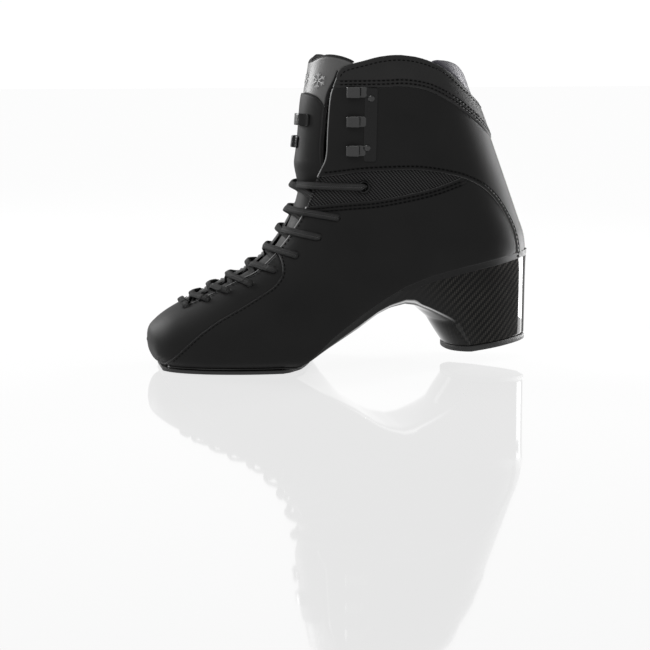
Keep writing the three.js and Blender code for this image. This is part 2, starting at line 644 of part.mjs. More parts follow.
// How far a point of ARCH_LINE moves back at a distance y to the inner side.
function archShift([x, z], y) {
  if (x > ARCH_SPLIT) {
    const bend = NOSE_SHIFT + NOSE_BEND * (clamp(Math.abs(y), 0, ARCH_SPLIT) / NOSE_REACH) ** NOSE_POWER;
    return clamp((NOSE_TOP - z) / NOSE_FADE) * bend;
  }
  const slant = clamp(y, ARCH_OUTER, ARCH_INNER) - ARCH_OUTER;
  return clamp((ARCH_SLANT_TOP - z) / ARCH_SLANT_FADE) * slant * ARCH_SLANT;
}

// The open space of the arch, bounded behind by the heel's rounded front.
function archSpace() {
  return loft(ARCH_SLICES.map((y) => {
    const line = ARCH_LINE.slice(1).map((p) => [p[0] + archShift(p, y), p[1]]);
    const outline = [[line[0][0], BELOW_ALL], ...line, [line.at(-1)[0], BELOW_ALL]];
    return outline.map(([x, z]) => new THREE.Vector3(x, y, z));
  }));
}

function addSole() {
  const steps = HEEL_BACK[0] - HEEL_FRONT[0];
  const heelLevel = (x) => HEEL_FRONT[1] + ((HEEL_BACK[1] - HEEL_FRONT[1]) * (x - HEEL_FRONT[0])) / steps;
  const cutAt = (x, rise) => [x, heelLevel(x) + rise];
  const far = HEEL_BACK[0] + HEEL_OVERRUN;
  const arch = archSpace();

  const body = shellBody(0);
  const edge = SOLE_LINE.slice(RAND_FIRST);
  const rand = body.subtract(shellBody(RAND_THICK)).intersect(between(edge, -RAND_HEIGHT, -GAP));
  const recess = shellBody(-RAND_THICK).subtract(shellBody(RAND_THICK + GAP))
    .intersect(between(edge, -RAND_HEIGHT - GAP, RAND_THICK));
  const hollow = shellBody(HEEL_WALL).intersect(prism(HEEL_POCKET));
  const forefoot = [ARCH_LINE[0], [PLATE_END, ARCH_LINE[1][1]]];
  const outline = [...forefoot, cutAt(HEEL_FRONT[0], HEEL_PLATE + GAP), cutAt(far, HEEL_PLATE + GAP)];
  const below = [...outline, ...raised(SOLE_LINE, -GAP).reverse()];
  add('sole_shell', body.intersect(prism(below)).subtract(arch).subtract(recess).subtract(hollow), 'carbon');
  const core = shellBody(HEEL_WALL + GAP).intersect(prism(grow(HEEL_POCKET, -GAP)));
  add('heel_core', core.intersect(prism([...raised(SOLE_LINE, -2), [145, 0], [-150, 0]])), 'board');
  add('heel_rand', rand, 'rubber');

  const near = HEEL_FRONT[0];
  const tread = [cutAt(near, 0), cutAt(far, 0), cutAt(far, HEEL_PLATE), cutAt(near, HEEL_PLATE)];
  add('heel_plate', shellBody(-HEEL_PLATE_EDGE).intersect(prism(tread)).subtract(arch), 'rubber');
}

function addForefootPlate() {
  const rings = PLATE_STATIONS.map((x) => {
    const place = [Math.min(x, PLATE_LAST), PLATE_HEIGHT];
    const [outer, inner] = [OUTER, INNER].map((side) => onHull(place, side).y - side * PLATE_INSET);
    return [[outer, PLATE_TOP], [outer + PLATE_INSET, 0], [inner - PLATE_INSET, 0], [inner, PLATE_TOP]]
      .map(([y, z]) => new THREE.Vector3(x, y, z));
  });
  const shape = new THREE.Shape(PLATE_PLAN.map(([x, y]) => new THREE.Vector2(x, y)));
  const plan = new THREE.ExtrudeGeometry(shape, { depth: -2 * BELOW_ALL, bevelEnabled: false });
  plan.translate(0, 0, BELOW_ALL);
  add('forefoot_plate', loft(rings).intersect(prism(PLATE_SIDE_VIEW)).intersect(solid(plan)), 'rubber');
}

function mix([x0, z0], [x1, z1], share) {
  return [x0 + (x1 - x0) * share, z0 + (z1 - z0) * share];
}

function towards([x0, z0], [x1, z1], distance) {
  return mix([x0, z0], [x1, z1], distance / Math.hypot(x1 - x0, z1 - z0));
}

// One end of a strand, from its crossing to an eyelet, at the depths given.
function strandEnd(eyelet, crossing, side, depths) {
  const places = [mix(eyelet, crossing, 0.82), mix(eyelet, crossing, 0.5), towards(eyelet, crossing, 3.5)];
  return places.map((place, i) => onHull(place, side, depths[i]));
}

// Half of the lace, from the bar across the lowest eyelets up to a ring.
function laceHalf(side, family) {
  const points = [];
  EYELETS.forEach((eyelet, i) => {
    const here = i % 2 === 0 ? side : -side;
    const isRing = i === EYELETS.length - 1;
    if (i === 0) {
      points.push(...strandEnd(eyelet, BAR_MIDDLE, here, [OVER, OVER, OVER]).slice(1));
    } else {
      const crossing = CROSSINGS[i - 1];
      points.push(onHull(crossing, here, STRAND_CROSSING[family]).setY(0));
      points.push(...strandEnd(eyelet, crossing, here, [OVER, OVER, isRing ? RING_APPROACH : OVER]));
    }
    const normal = normalAt(eyelet, here);
    const mouth = onHull(eyelet, here);
    points.push(...(isRing ? IN_RING : IN_HOLE).map((depth) => mouth.clone().addScaledVector(normal, -depth)));
    if (!isRing) {
      points.push(...strandEnd(eyelet, CROSSINGS[i], here, [UNDER, UNDER, UNDER]).reverse());
    }
  });
  return points;
}

// A flat woven strip along points, turned as little as it can be from point to point.
function ribbon(points, width, thick) {
  const corners = [[-0.5, 0], [-0.3, 0.5], [0.3, 0.5], [0.5, 0], [0.3, -0.5], [-0.3, -0.5]];
  let flat = new THREE.Vector3(0, 0, 1);
  const rings = points.map((point, i) => {
    const ahead = points[Math.min(i + 1, points.length - 1)];
    const behind = points[Math.max(i - 1, 0)];
    const along = ahead.clone().sub(behind).normalize();
    const outward = facing(point);
    const wanted = outward.addScaledVector(along, -outward.dot(along));
    const carried = flat.clone().addScaledVector(along, -flat.dot(along)).normalize();
    const sameWay = Math.sign(wanted.dot(carried)) || 1;
    flat = wanted.length() > 0.8 ? wanted.normalize().multiplyScalar(sameWay) : carried;
    const across = along.clone().cross(flat).normalize();
    return corners.map(([a, b]) => point.clone()
      .addScaledVector(across, a * width).addScaledVector(flat, b * thick));
  });
  return loft(rings);
}

// The outward direction of the hull next to a point.
function facing(point) {
  if (Math.abs(point.y) < 1) {
    return new THREE.Vector3(-0.8, 0, 0.6);
  }
  return normalAt([point.x, point.z], Math.sign(point.y));
}

// The whole lace as one flat strip, made thicker all round by a margin.
function laceStrip(margin) {
  const lateral = laceHalf(OUTER, 0);
  const medial = laceHalf(INNER, 1);
  const middle = onHull(BAR_MIDDLE, OUTER, OVER).setY(BAR_SHIFT);
  return ribbon([...lateral.reverse(), middle, ...medial], LACE_WIDTH + 2 * margin, LACE_THICK + 2 * margin);
}

function tube(points, radius, sides) {
  const shape = new THREE.Shape();
  shape.moveTo(radius, 0);
  for (let i = 1; i < sides; i += 1) {
    const angle = (i / sides) * 2 * Math.PI;
    shape.lineTo(radius * Math.cos(angle), radius * Math.sin(angle));
  }
  const path = new THREE.CatmullRomCurve3(points);
  const options = { steps: 2 * points.length, extrudePath: path, bevelEnabled: false };
  return solid(new THREE.ExtrudeGeometry(shape, options));
}

// A shape made round the origin, tilted to the footbed's slope and set on it below the coils.
function setOnFootbed(geometry) {
  geometry.rotateY(-COIL.slope);
  geometry.translate(COIL.x, 0, COIL.rise);
  return solid(geometry);
}

// The lace's loose ends, wound up on the footbed.
function addTails() {
  [[OUTER, 'lateral'], [INNER, 'medial']].forEach(([side, word], i) => {
    const start = onHull(EYELET_RING, side).addScaledVector(normalAt(EYELET_RING, side), -TAIL_START);
    const route = [start, ...TAIL_ROUTE.map(([x, y, z]) => new THREE.Vector3(x, side * y, z))];
    add(`lace_tail_${word}`, tube(route, TAIL_DIAMETER / 2, 8), 'lace');

    const low = i * (COIL.thick + GAP);
    const profile = [[COIL.inner, low], [COIL.outer, low], [COIL.outer, low + COIL.thick],
      [COIL.inner, low + COIL.thick], [COIL.inner, low]].map(([r, z]) => new THREE.Vector2(r, z));
    add(`lace_coil_${word}`, setOnFootbed(new THREE.LatheGeometry(profile, 20).rotateX(Math.PI / 2)), 'lace');

    const aglet = new THREE.CylinderGeometry(AGLET.radius, AGLET.radius, AGLET.length, 10).rotateZ(Math.PI / 2);
    add(`aglet_${word}`, setOnFootbed(aglet.translate(0, side * AGLET.y, AGLET.radius)), 'tip');
  });
}

addUpper();
addStiffening();
addLining();
addCollarPad();
addFootbed();
addTongue();
addGuides();
addHooks();
addSole();
addForefootPlate();
add('lace', laceStrip(0), 'lace');
addTails();

export default boot;
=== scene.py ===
import math

import bpy
import numpy as np
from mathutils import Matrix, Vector
from mathutils.bvhtree import BVHTree
from mathutils.kdtree import KDTree


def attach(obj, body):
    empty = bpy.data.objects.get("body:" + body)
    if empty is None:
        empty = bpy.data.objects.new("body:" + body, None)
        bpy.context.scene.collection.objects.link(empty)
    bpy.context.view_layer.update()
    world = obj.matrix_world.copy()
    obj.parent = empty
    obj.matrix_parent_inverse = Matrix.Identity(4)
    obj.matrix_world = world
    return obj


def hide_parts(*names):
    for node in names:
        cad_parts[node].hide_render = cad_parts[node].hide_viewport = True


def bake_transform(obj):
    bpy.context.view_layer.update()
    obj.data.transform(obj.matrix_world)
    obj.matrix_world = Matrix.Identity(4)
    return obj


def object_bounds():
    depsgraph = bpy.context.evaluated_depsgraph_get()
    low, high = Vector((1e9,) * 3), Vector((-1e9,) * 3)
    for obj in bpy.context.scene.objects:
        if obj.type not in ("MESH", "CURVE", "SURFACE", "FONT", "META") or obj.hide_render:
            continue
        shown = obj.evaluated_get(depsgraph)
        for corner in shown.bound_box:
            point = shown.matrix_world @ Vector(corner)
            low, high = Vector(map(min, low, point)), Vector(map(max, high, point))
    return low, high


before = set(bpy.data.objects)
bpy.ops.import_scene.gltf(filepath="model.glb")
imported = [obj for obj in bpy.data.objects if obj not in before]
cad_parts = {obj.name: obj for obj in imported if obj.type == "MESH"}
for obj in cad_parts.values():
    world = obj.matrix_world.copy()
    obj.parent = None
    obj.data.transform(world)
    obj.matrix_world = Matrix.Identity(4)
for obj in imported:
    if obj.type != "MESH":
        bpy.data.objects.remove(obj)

CAD_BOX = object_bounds()
MM = 0.001
OUTER = -1                       # side of the boot, as the sign of y
INNER = 1
SIDES = ((OUTER, "lateral"), (INNER, "medial"))

# ---------------------------------------------------------------- the boot's shape, as in the frame, in mm

# Fan of flat sections across the boot: ridge x z, base x z, half width, depth of the widest point,
# roundness above, roundness below, sideways shift.
SECTIONS = np.array([
    [-134.0, 22.0, -134.0, 18.0, 2.0, 0.50, 2.0, 2.0, 5.0],
    [-132.8, 28.0, -132.4, 11.0, 12.0, 0.50, 2.0, 2.0, 5.0],
    [-129.0, 33.0, -128.0, 5.0, 21.0, 0.55, 2.0, 2.6, 4.6],
    [-120.0, 40.0, -118.0, 2.4, 30.0, 0.60, 2.0, 3.4, 4.0],
    [-105.0, 48.5, -100.0, 2.0, 38.0, 0.68, 2.0, 4.0, 2.8],
    [-85.0, 59.5, -76.0, 2.0, 43.5, 0.74, 2.0, 4.0, 1.0],
    [-65.0, 70.5, -50.0, 2.0, 46.0, 0.76, 2.0, 4.0, 0.0],
    [-49.0, 85.0, -25.0, 2.2, 44.5, 0.74, 2.0, 4.0, 0.0],
    [-40.0, 99.5, -2.0, 17.0, 41.0, 0.70, 2.0, 4.0, 0.0],
    [-35.0, 115.0, 29.0, 38.0, 38.5, 0.66, 2.0, 4.0, 0.0],
    [-31.5, 131.0, 69.0, 50.0, 37.0, 0.62, 2.0, 4.0, 0.0],
    [-29.8, 143.0, 112.0, 61.0, 36.5, 0.57, 2.1, 3.6, 0.0],
    [-28.8, 150.0, 130.0, 72.0, 36.5, 0.54, 2.1, 2.6, 0.0],
    [-28.0, 157.0, 132.0, 85.0, 36.5, 0.52, 2.1, 2.3, 0.0],
    [-27.2, 166.0, 126.0, 103.0, 36.5, 0.50, 2.1, 2.2, 0.0],
    [-26.0, 180.0, 112.5, 139.5, 37.0, 0.50, 2.1, 2.1, 0.0],
    [-23.8, 192.0, 100.5, 171.0, 38.0, 0.50, 2.1, 2.1, 0.0],
    [-21.0, 208.0, 91.5, 191.0, 38.5, 0.50, 2.1, 2.1, 0.0],
    [-19.0, 226.0, 82.0, 216.0, 38.5, 0.50, 2.1, 2.1, 0.0],
])

# Side-view outlines, x and z.
SOLE_LINE = [
    [-150, 4.6], [-38, 4.6], [-30, 9], [-22, 15.5], [-13, 23.5], [6, 37], [25, 49], [39, 57], [57, 63.5],
    [81, 69], [101, 73], [121, 76.5], [145, 79.5],
]
ARCH_LINE = [
    [-150, 2.9], [-38, 2.9], [-30, 7.6], [-22, 12.6], [-13, 17.5], [6, 28], [20, 37.5], [29, 41.5],
    [40, 43.5], [47, 42], [53, 37], [59, 29], [65, 19], [70, 11.2],
]
HEEL_FRONT = (70, 6.6)
HEEL_BACK = (134, 13.0)
HEEL_PLATE = 4.0
COLLAR_LINE = [
    [-8, 197], [-6.5, 202], [-2, 205.5], [8, 208.5], [20, 211.5], [33, 212.5], [47, 210.5], [60, 206],
    [68, 201.5], [76, 195.5], [83, 189.5], [90, 183.5], [99, 177],
]
INNER_COLLAR_LINE = [
    [-8, 195.5], [-6.5, 198.5], [-2, 201], [8, 203.5], [20, 206], [33, 208], [47, 208], [60, 205.5],
    [68, 201.5], [76, 195.5], [83, 189.5], [90, 183.5], [99, 177],
]
BAND_LINE = [
    [-40, 190], [18, 191], [36, 191.5], [53, 188.5], [70, 180.5], [84, 171.5], [95, 163.5], [112, 150],
]
CUFF_LINE = [
    [-40, 128], [-11, 132], [13, 135], [40, 136], [54, 135], [66, 133], [80, 129.5], [93, 123.5],
    [102, 116.5], [109, 108.5], [115, 99], [119, 90], [121, 81], [122, 70],
]
QUARTER_TOP = [
    [-40, 109], [-21, 112], [-3, 114], [20, 116], [43, 120], [60, 124], [78, 129.9],
]
TOE_SEAM = [
    [-128, 0], [-121.5, 9], [-105, 26], [-90, 37], [-72, 47], [-61, 53.5], [-53, 58.5],
    [-47, 65], [-45.5, 71], [-46.5, 78], [-50, 85], [-60, 100],
]
FACING_EDGE = [
    [-8, 197], [-11.5, 185], [-13, 165], [-14, 145], [-17.5, 136], [-21.5, 127], [-25, 117], [-29.5, 107],
    [-35, 97.5], [-40, 90], [-46, 82.5], [-54, 74.5], [-63, 67.4], [-72, 63], [-85, 56.6], [-98, 50],
    [-107.5, 45.6],
]
EYELETS = [
    [-108.5, 44.5], [-95, 49.5], [-82, 55], [-67, 60], [-51, 69], [-36, 79], [-21, 91], [-8, 104],
    [10, 124.5],
]
CROSSINGS = [
    [-103, 50], [-91, 56.5], [-78, 63.5], [-64, 71.5], [-52, 82.5], [-42.5, 95], [-37, 108.5], [-32.8, 125],
]
LINING_EDGE = [
    [-4, 200], [-8, 180], [-9, 160], [-8, 140], [-4, 120], [-1, 107], [-6, 94], [-18, 80], [-32, 68],
    [-48, 57], [-64, 49], [-80, 43], [-95, 38], [-112, 34], [-118, 36],
]
PLATE_HEIGHT = 5.2               # the forefoot plate's outline is the hull's at this height
PLATE_INSET = 0.8
PLATE_REAR = [                   # rear end of the forefoot plate, x and y from the outer side
    [-44.5, -38], [-41, -36], [-36.5, -31], [-32, -26], [-27.4, -17], [-21, -2], [-16.5, 13], [-14, 24],
    [-13.6, 31], [-15.4, 36],
]
TONGUE_TOP = [
    [-6.6, 202.6], [-2.2, 206.2], [2.5, 208], [-5, 211.5], [-13, 213], [-18, 211.5], [-22, 208], [-60, 205],
]
PATCH_LINE = [[-60, 187], [-24, 186.5], [-12, 174], [12, 148]]
PAD_TOP = [[60, 209.4], [70, 208.6], [79, 206], [85, 201.5], [88.5, 195], [91, 188], [99, 176]]
GUIDES = (("upper", 169, -13, 4), ("lower", 153.5, -3, 14))
HOOK_ROWS = (188, 168.5, 149)
RIVETS = ((14, 184), (12, 151))
BAR_MIDDLE = [-109.6, 46.4]
BAR_SHIFT = 3.2
LACE_WIDTH = 4.8
LACE_THICK = 1.9
OVER = 1.25                      # the lace's middle above the hull where it shows
UNDER = -3.7                     # and where it passes under the facings
CROSSING_OUT = (-1.6, 1.1)       # each half's height where they cross
TAIL_START = 8.8
TAIL_ROUTE = [
    [10.6, 21.5, 124], [12, 17.6, 119], [13, 16.5, 110], [13.5, 17, 95], [14.5, 17.5, 80], [17, 18.2, 68],
    [22.5, 19.6, 61.4], [31, 21.4, 63.0], [42, 23.4, 68.8],
]


def catmull(a, b, c, d, t):
    """A smooth curve from b to c, between a and d."""
    return 0.5 * (2 * b + (c - a) * t + (2 * a - 5 * b + 4 * c - d) * t ** 2
                  + (3 * b - a - 3 * c + d) * t ** 3)


def rows_between(u):
    """The four rows of SECTIONS around u, and how far u lies between the middle two."""
    last = len(SECTIONS) - 1
    i = np.minimum(np.floor(u).astype(int), last - 1)
    picked = (np.maximum(i - 1, 0), i, i + 1, np.minimum(i + 2, last))
    return [SECTIONS[k] for k in picked], (u - i)[..., None]


def section(u):
    """Ridge, base and the other values of the sections at u, an array."""
    (a, b, c, d), t = rows_between(np.asarray(u, float))
    row = catmull(a, b, c, d, t)
    return row[..., 0:2], row[..., 2:4], *(row[..., k] for k in range(4, 9))


def half_width(width, widest, above, below, along):
    up = np.clip(1 - along / widest, 0, 1)
    down = np.clip((along - widest) / (1 - widest), 0, 1)
    upper = np.clip(1 - up ** above, 0, 1) ** (1 / above)
    lower = np.clip(1 - down ** below, 0, 1) ** (1 / below)
    return width * np.where(along < widest, upper, lower)


def on_hull(places, side):
    """Points of the hull seen at side-view places, and whether each place lies inside its silhouette."""
    xz = np.atleast_2d(np.asarray(places, float))
    low, high = np.zeros(len(xz)), np.full(len(xz), len(SECTIONS) - 1.0)
    for _ in range(34):
        middle = (low + high) / 2
        ridge, base = section(middle)[:2]
        line, rel = base - ridge, xz - ridge
        ahead = line[:, 0] * rel[:, 1] - line[:, 1] * rel[:, 0] > 0
        low, high = np.where(ahead, middle, low), np.where(ahead, high, middle)
    ridge, base, width, widest, above, below, shift = section(low)
    line = base - ridge
    along = ((xz - ridge) * line).sum(1) / (line ** 2).sum(1)
    within = (along > 0) & (along < 1) & (low > 1e-6) & (low < len(SECTIONS) - 1 - 1e-6)
    along = np.clip(along, 0, 1)
    flat = ridge + along[:, None] * line
    y = shift + side * half_width(width, widest, above, below, along)
    return np.column_stack([flat[:, 0], y, flat[:, 1]]), within


def unit(v):
    return v / np.maximum(np.linalg.norm(v, axis=-1, keepdims=True), 1e-9)


def half_ring(u, count):
    """Half a section as evenly spaced points from ridge to base: side-view x, z and distance out."""
    q = np.linspace(0, 2, 321)
    a = np.where(q <= 1, q, q - 1) * (math.pi / 2)
    ridge, base, width, widest, above, below, shift = (np.asarray(v) for v in section(u))
    rise = widest * (1 - np.cos(a) ** (2 / above))
    fall = widest + (1 - widest) * np.sin(a) ** (2 / below)
    along = np.where(q <= 1, rise, fall)
    out = width * np.where(q <= 1, np.sin(a) ** (2 / above), np.abs(np.cos(a)) ** (2 / below))
    flat = ridge + along[:, None] * (base - ridge)
    length = np.concatenate([[0], np.cumsum(np.hypot(np.hypot(*np.diff(flat, axis=0).T), np.diff(out)))])
    at = np.linspace(0, length[-1], count)
    return np.column_stack([np.interp(at, length, v) for v in (flat[:, 0], flat[:, 1], out)]), float(shift)


CELL = 1.3                       # size of the hull grid's cells
HALF_ROUND = 190                 # length of the longest half section


def hull_grid():
    """Points and outward normals of the hull: rows from toe to collar, columns round each section."""
    fine = np.linspace(0, len(SECTIONS) - 1, 700)
    ridge, base = section(fine)[:2]
    steps = np.maximum(np.hypot(*np.diff(ridge, axis=0).T), np.hypot(*np.diff(base, axis=0).T))
    length = np.concatenate([[0], np.cumsum(steps)])
    us = np.interp(np.linspace(0, length[-1], int(length[-1] / CELL)), length, fine)
    count = int(HALF_ROUND / CELL)
    rows = []
    for u in us:
        half, shift = half_ring(u, count)
        x, z, out = half.T
        outer = np.column_stack([x, shift - out, z])
        inner = np.column_stack([x, shift + out, z])[1:-1][::-1]
        rows.append(np.vstack([outer, inner]))
    points = np.array(rows)
    across = np.roll(points, -1, 1) - np.roll(points, 1, 1)
    along = np.gradient(points, axis=0)
    normals = unit(np.cross(across, along))
    tip = np.tile(points[0].mean(0) - [0.6, 0, 0], (1, points.shape[1], 1))
    ahead = np.tile([-1.0, 0.0, 0.0], (1, points.shape[1], 1))
    return np.vstack([tip, points]), np.vstack([ahead, normals])


POINTS, NORMALS = hull_grid()
ROWS, COLUMNS = POINTS.shape[:2]


def hull_tree():
    index = np.arange(ROWS * COLUMNS).reshape(ROWS, COLUMNS)
    right = np.roll(index, -1, 1)
    quads = np.stack([index[:-1], right[:-1], right[1:], index[1:]], -1).reshape(-1, 4)
    return BVHTree.FromPolygons([Vector(p) for p in POINTS.reshape(-1, 3)], quads.tolist())


TREE = hull_tree()


def nearest(points):
    """The hull's nearest points and its outward normals there."""
    found = [TREE.find_nearest(Vector(p)) for p in points]
    normals = np.array([list(f[1]) for f in found])
    places = np.array([list(f[0]) for f in found])
    middle = np.array([0.3 * places[:, 0], np.zeros(len(places)), 0.5 * places[:, 2]]).T
    flip = np.sign(((places - middle) * normals).sum(1))
    return places, normals * np.where(flip == 0, 1, flip)[:, None]


# ---------------------------------------------------------------- lines and distances


def smooth(line, step=1.0):
    """A curve through the points of a line, in short steps."""
    p = np.asarray(line, float)
    p = np.vstack([2 * p[0] - p[1], p, 2 * p[-1] - p[-2]])
    parts = []
    for i in range(1, len(p) - 2):
        count = max(2, int(np.linalg.norm(p[i + 1] - p[i]) / step))
        t = np.linspace(0, 1, count, endpoint=False)[:, None]
        parts.append(catmull(*p[i - 1:i + 3], t))
    return np.vstack([*parts, p[-2:-1]])


def resample(points, step):
    length = np.concatenate([[0], np.cumsum(np.linalg.norm(np.diff(points, axis=0), axis=1))])
    at = np.linspace(0, length[-1], max(2, int(round(length[-1] / step)) + 1))
    return np.column_stack([np.interp(at, length, points[:, k]) for k in range(points.shape[1])])


def runs(line, side):
    """The stretches of a side-view line that lie on the hull, as lists of points in space."""
    places, within = on_hull(line, side)
    found, run = [], []
    for place, good in zip(places, within):
        if good:
            run.append(place)
        elif run:
            found.append(np.array(run))
            run = []
    if run:
        found.append(np.array(run))
    return [r for r in found if len(r) > 1]


def distance(points, lines):
    """The least distance from each point to any of some finely stepped lines in space."""
    corners = np.vstack(lines)
    before, after = np.arange(len(corners)) - 1, np.arange(len(corners)) + 1
    ends = np.cumsum([len(line) for line in lines])
    starts = ends - [len(line) for line in lines]
    before[starts], after[ends - 1] = starts, ends - 1
    tree = KDTree(len(corners))
    for i, corner in enumerate(corners):
        tree.insert(corner, i)
    tree.balance()
    near = np.array([tree.find(p)[1] for p in points.tolist()], int)
    best = np.full(len(points), 1e9)
    for other in (before[near], after[near]):
        a, along = corners[near], corners[other] - corners[near]
        length = np.maximum(np.einsum("ij,ij->i", along, along), 1e-12)
        t = np.clip(np.einsum("ij,ij->i", points - a, along) / length, 0, 1)
        gap = points - a - t[:, None] * along
        best = np.minimum(best, np.einsum("ij,ij->i", gap, gap))
    return np.sqrt(best)


def inside(polygon, xz):
    """Whether side-view places lie in a polygon."""
    odd = np.zeros(len(xz), bool)
    x, z = xz[:, 0], xz[:, 1]
    for (x0, z0), (x1, z1) in zip(polygon, np.roll(polygon, -1, 0)):
        if z0 != z1:
            odd ^= ((z0 > z) != (z1 > z)) & (x < (x1 - x0) * (z - z0) / (z1 - z0) + x0)
    return odd


def height(line, x):
    line = np.asarray(line, float)
    return np.interp(x, line[:, 0], line[:, 1])


# ---------------------------------------------------------------- mesh pieces


def make(name, points, faces, material, body, replaced=(), slot=None):
    """A mesh object from points in mm, riding on a body."""
    mesh = bpy.data.meshes.new(name)
    mesh.from_pydata((np.asarray(points) * MM).tolist(), [], [list(map(int, f)) for f in faces])
    mesh.update()
    obj = bpy.data.objects.new(name, mesh)
    bpy.context.scene.collection.objects.link(obj)
    mesh.materials.append(material)
    mesh.shade_smooth()
    if body is not None:
        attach(obj, body)
    if replaced:
        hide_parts(*replaced)
    return obj


def attribute(obj, name, values):
    layer = obj.data.attributes.new(name, "FLOAT", "POINT")
    layer.data.foreach_set("value", np.asarray(values, np.float32))


def strip(rings, closed_ends=True):
    """Points and faces of a skin over rings of points, all of one length."""
    rings = np.asarray(rings, float)
    n, m = rings.shape[:2]
    index = np.arange(n * m).reshape(n, m)
    after = np.roll(index, -1, 1)
    quads = np.stack([index[:-1], after[:-1], after[1:], index[1:]], -1)
    faces = quads.reshape(-1, 4).tolist()
    if closed_ends:
        faces.append(index[0][::-1].tolist())
        faces.append(index[-1].tolist())
    return rings.reshape(-1, 3), faces


class Parts:
    """Several small skins gathered into one mesh."""

    def __init__(self):
        self.points, self.faces, self.count = [], [], 0

    def add(self, points, faces):
        self.points.append(np.asarray(points, float))
        self.faces += [[i + self.count for i in f] for f in faces]
        self.count += len(points)

    def make(self, name, material, body, **more):
        return make(name, np.vstack(self.points), self.faces, material, body, **more)


FIELD = 6                        # place of the field in a skin's rows, after its points and normals
ON_LINE = 0.12                   # a point this near to a level counts as on it


class Skin:
    """A piece of the hull's grid, cut along lines where a field is at given levels."""

    def __init__(self, keep, field):
        rows = np.column_stack([POINTS.reshape(-1, 3), NORMALS.reshape(-1, 3), field])
        index = np.arange(ROWS * COLUMNS).reshape(ROWS, COLUMNS)
        after = np.roll(index, -1, 1)
        quads = np.stack([index[:-1], after[:-1], after[1:], index[1:]], -1).reshape(-1, 4)
        self.faces = quads[keep[quads].any(1)].tolist()
        self.rows = [list(r) for r in rows]

    def cut(self, level, discard=False):
        """Splits the faces along a level of the field, and may drop what lies below it."""
        rows, new, kept = self.rows, {}, []

        def where(i):
            off = rows[i][FIELD] - level
            return 0 if abs(off) < ON_LINE else (1 if off > 0 else -1)

        def crossing(i, j):
            key = (i, j) if i < j else (j, i)
            if key not in new:
                a, b = rows[key[0]], rows[key[1]]
                t = (level - a[FIELD]) / (b[FIELD] - a[FIELD])
                row = [p + (q - p) * t for p, q in zip(a, b)]
                row[FIELD] = level
                new[key] = len(rows)
                rows.append(row)
            return new[key]

        for face in self.faces:
            signs = [where(i) for i in face]
            if min(signs) >= 0:
                kept.append(face)
                continue
            if max(signs) <= 0:
                if not discard:
                    kept.append(face)
                continue
            above, below = [], []
            for k, i in enumerate(face):
                j, s, t = face[(k + 1) % len(face)], signs[k], signs[(k + 1) % len(face)]
                if s >= 0:
                    above.append(i)
                if s <= 0:
                    below.append(i)
                if s * t < 0:
                    middle = crossing(i, j)
                    above.append(middle)
                    below.append(middle)
            if len(above) > 2:
                kept.append(above)
            if not discard and len(below) > 2:
                kept.append(below)
        self.faces = kept

    def tidy(self):
        """Drops unused rows, and gives points, normals and field as arrays."""
        used = sorted({i for f in self.faces for i in f})
        renumber = {old: k for k, old in enumerate(used)}
        self.faces = [[renumber[i] for i in f] for f in self.faces]
        table = np.array([self.rows[i] for i in used])
        self.points, self.normals = table[:, :3], unit(table[:, 3:FIELD])
        self.field = table[:, FIELD]

    def rim(self):
        """The directed edges that only one face has."""
        seen = {}
        for f in self.faces:
            for a, b in zip(f, f[1:] + f[:1]):
                seen[(a, b)] = True
        return [(a, b) for (a, b) in seen if (b, a) not in seen]


FLAT = POINTS.reshape(-1, 3)
SIDE_VIEW = FLAT[:, [0, 2]]
FAR = -160.0
SKY = 260.0


def on_side(line, side):
    """A line that differs between the sides is kept as one line for each."""
    return line[side] if isinstance(line, dict) else line


def on_both(lines):
    """Side-view lines as curves in space, on both sides of the boot."""
    return [run for side, _ in SIDES for line in lines for run in runs(on_side(line, side), side)]


def signed_field(within, lines, holes=()):
    """Signed distance from a panel's edge: positive where it is within its outline."""
    curves = on_both(lines)
    every = np.vstack(curves)
    close = ((FLAT > every.min(0) - 12) & (FLAT < every.max(0) + 12)).all(1)
    field = np.where(within, 99.0, -99.0)
    field[close] = distance(FLAT[close], curves) * np.where(within[close], 1, -1)
    for centre, radius in holes:
        field = np.minimum(field, np.linalg.norm(FLAT - centre, axis=1) - radius)
    return field


ROUND = (0.0, 0.3, 0.8, 1.8)     # distances from a panel's edge at which its roundness is modelled
EDGE_DROP = (0.55, 0.2, 0.03, 0.0)
SWELL = (0.5, 1.2, 2.4, 4.5, 8.0)    # distances from a padded piece's edge at which its swell is modelled


def edge_round(field, scale=1.0):
    return -scale * np.interp(field, ROUND, EDGE_DROP)


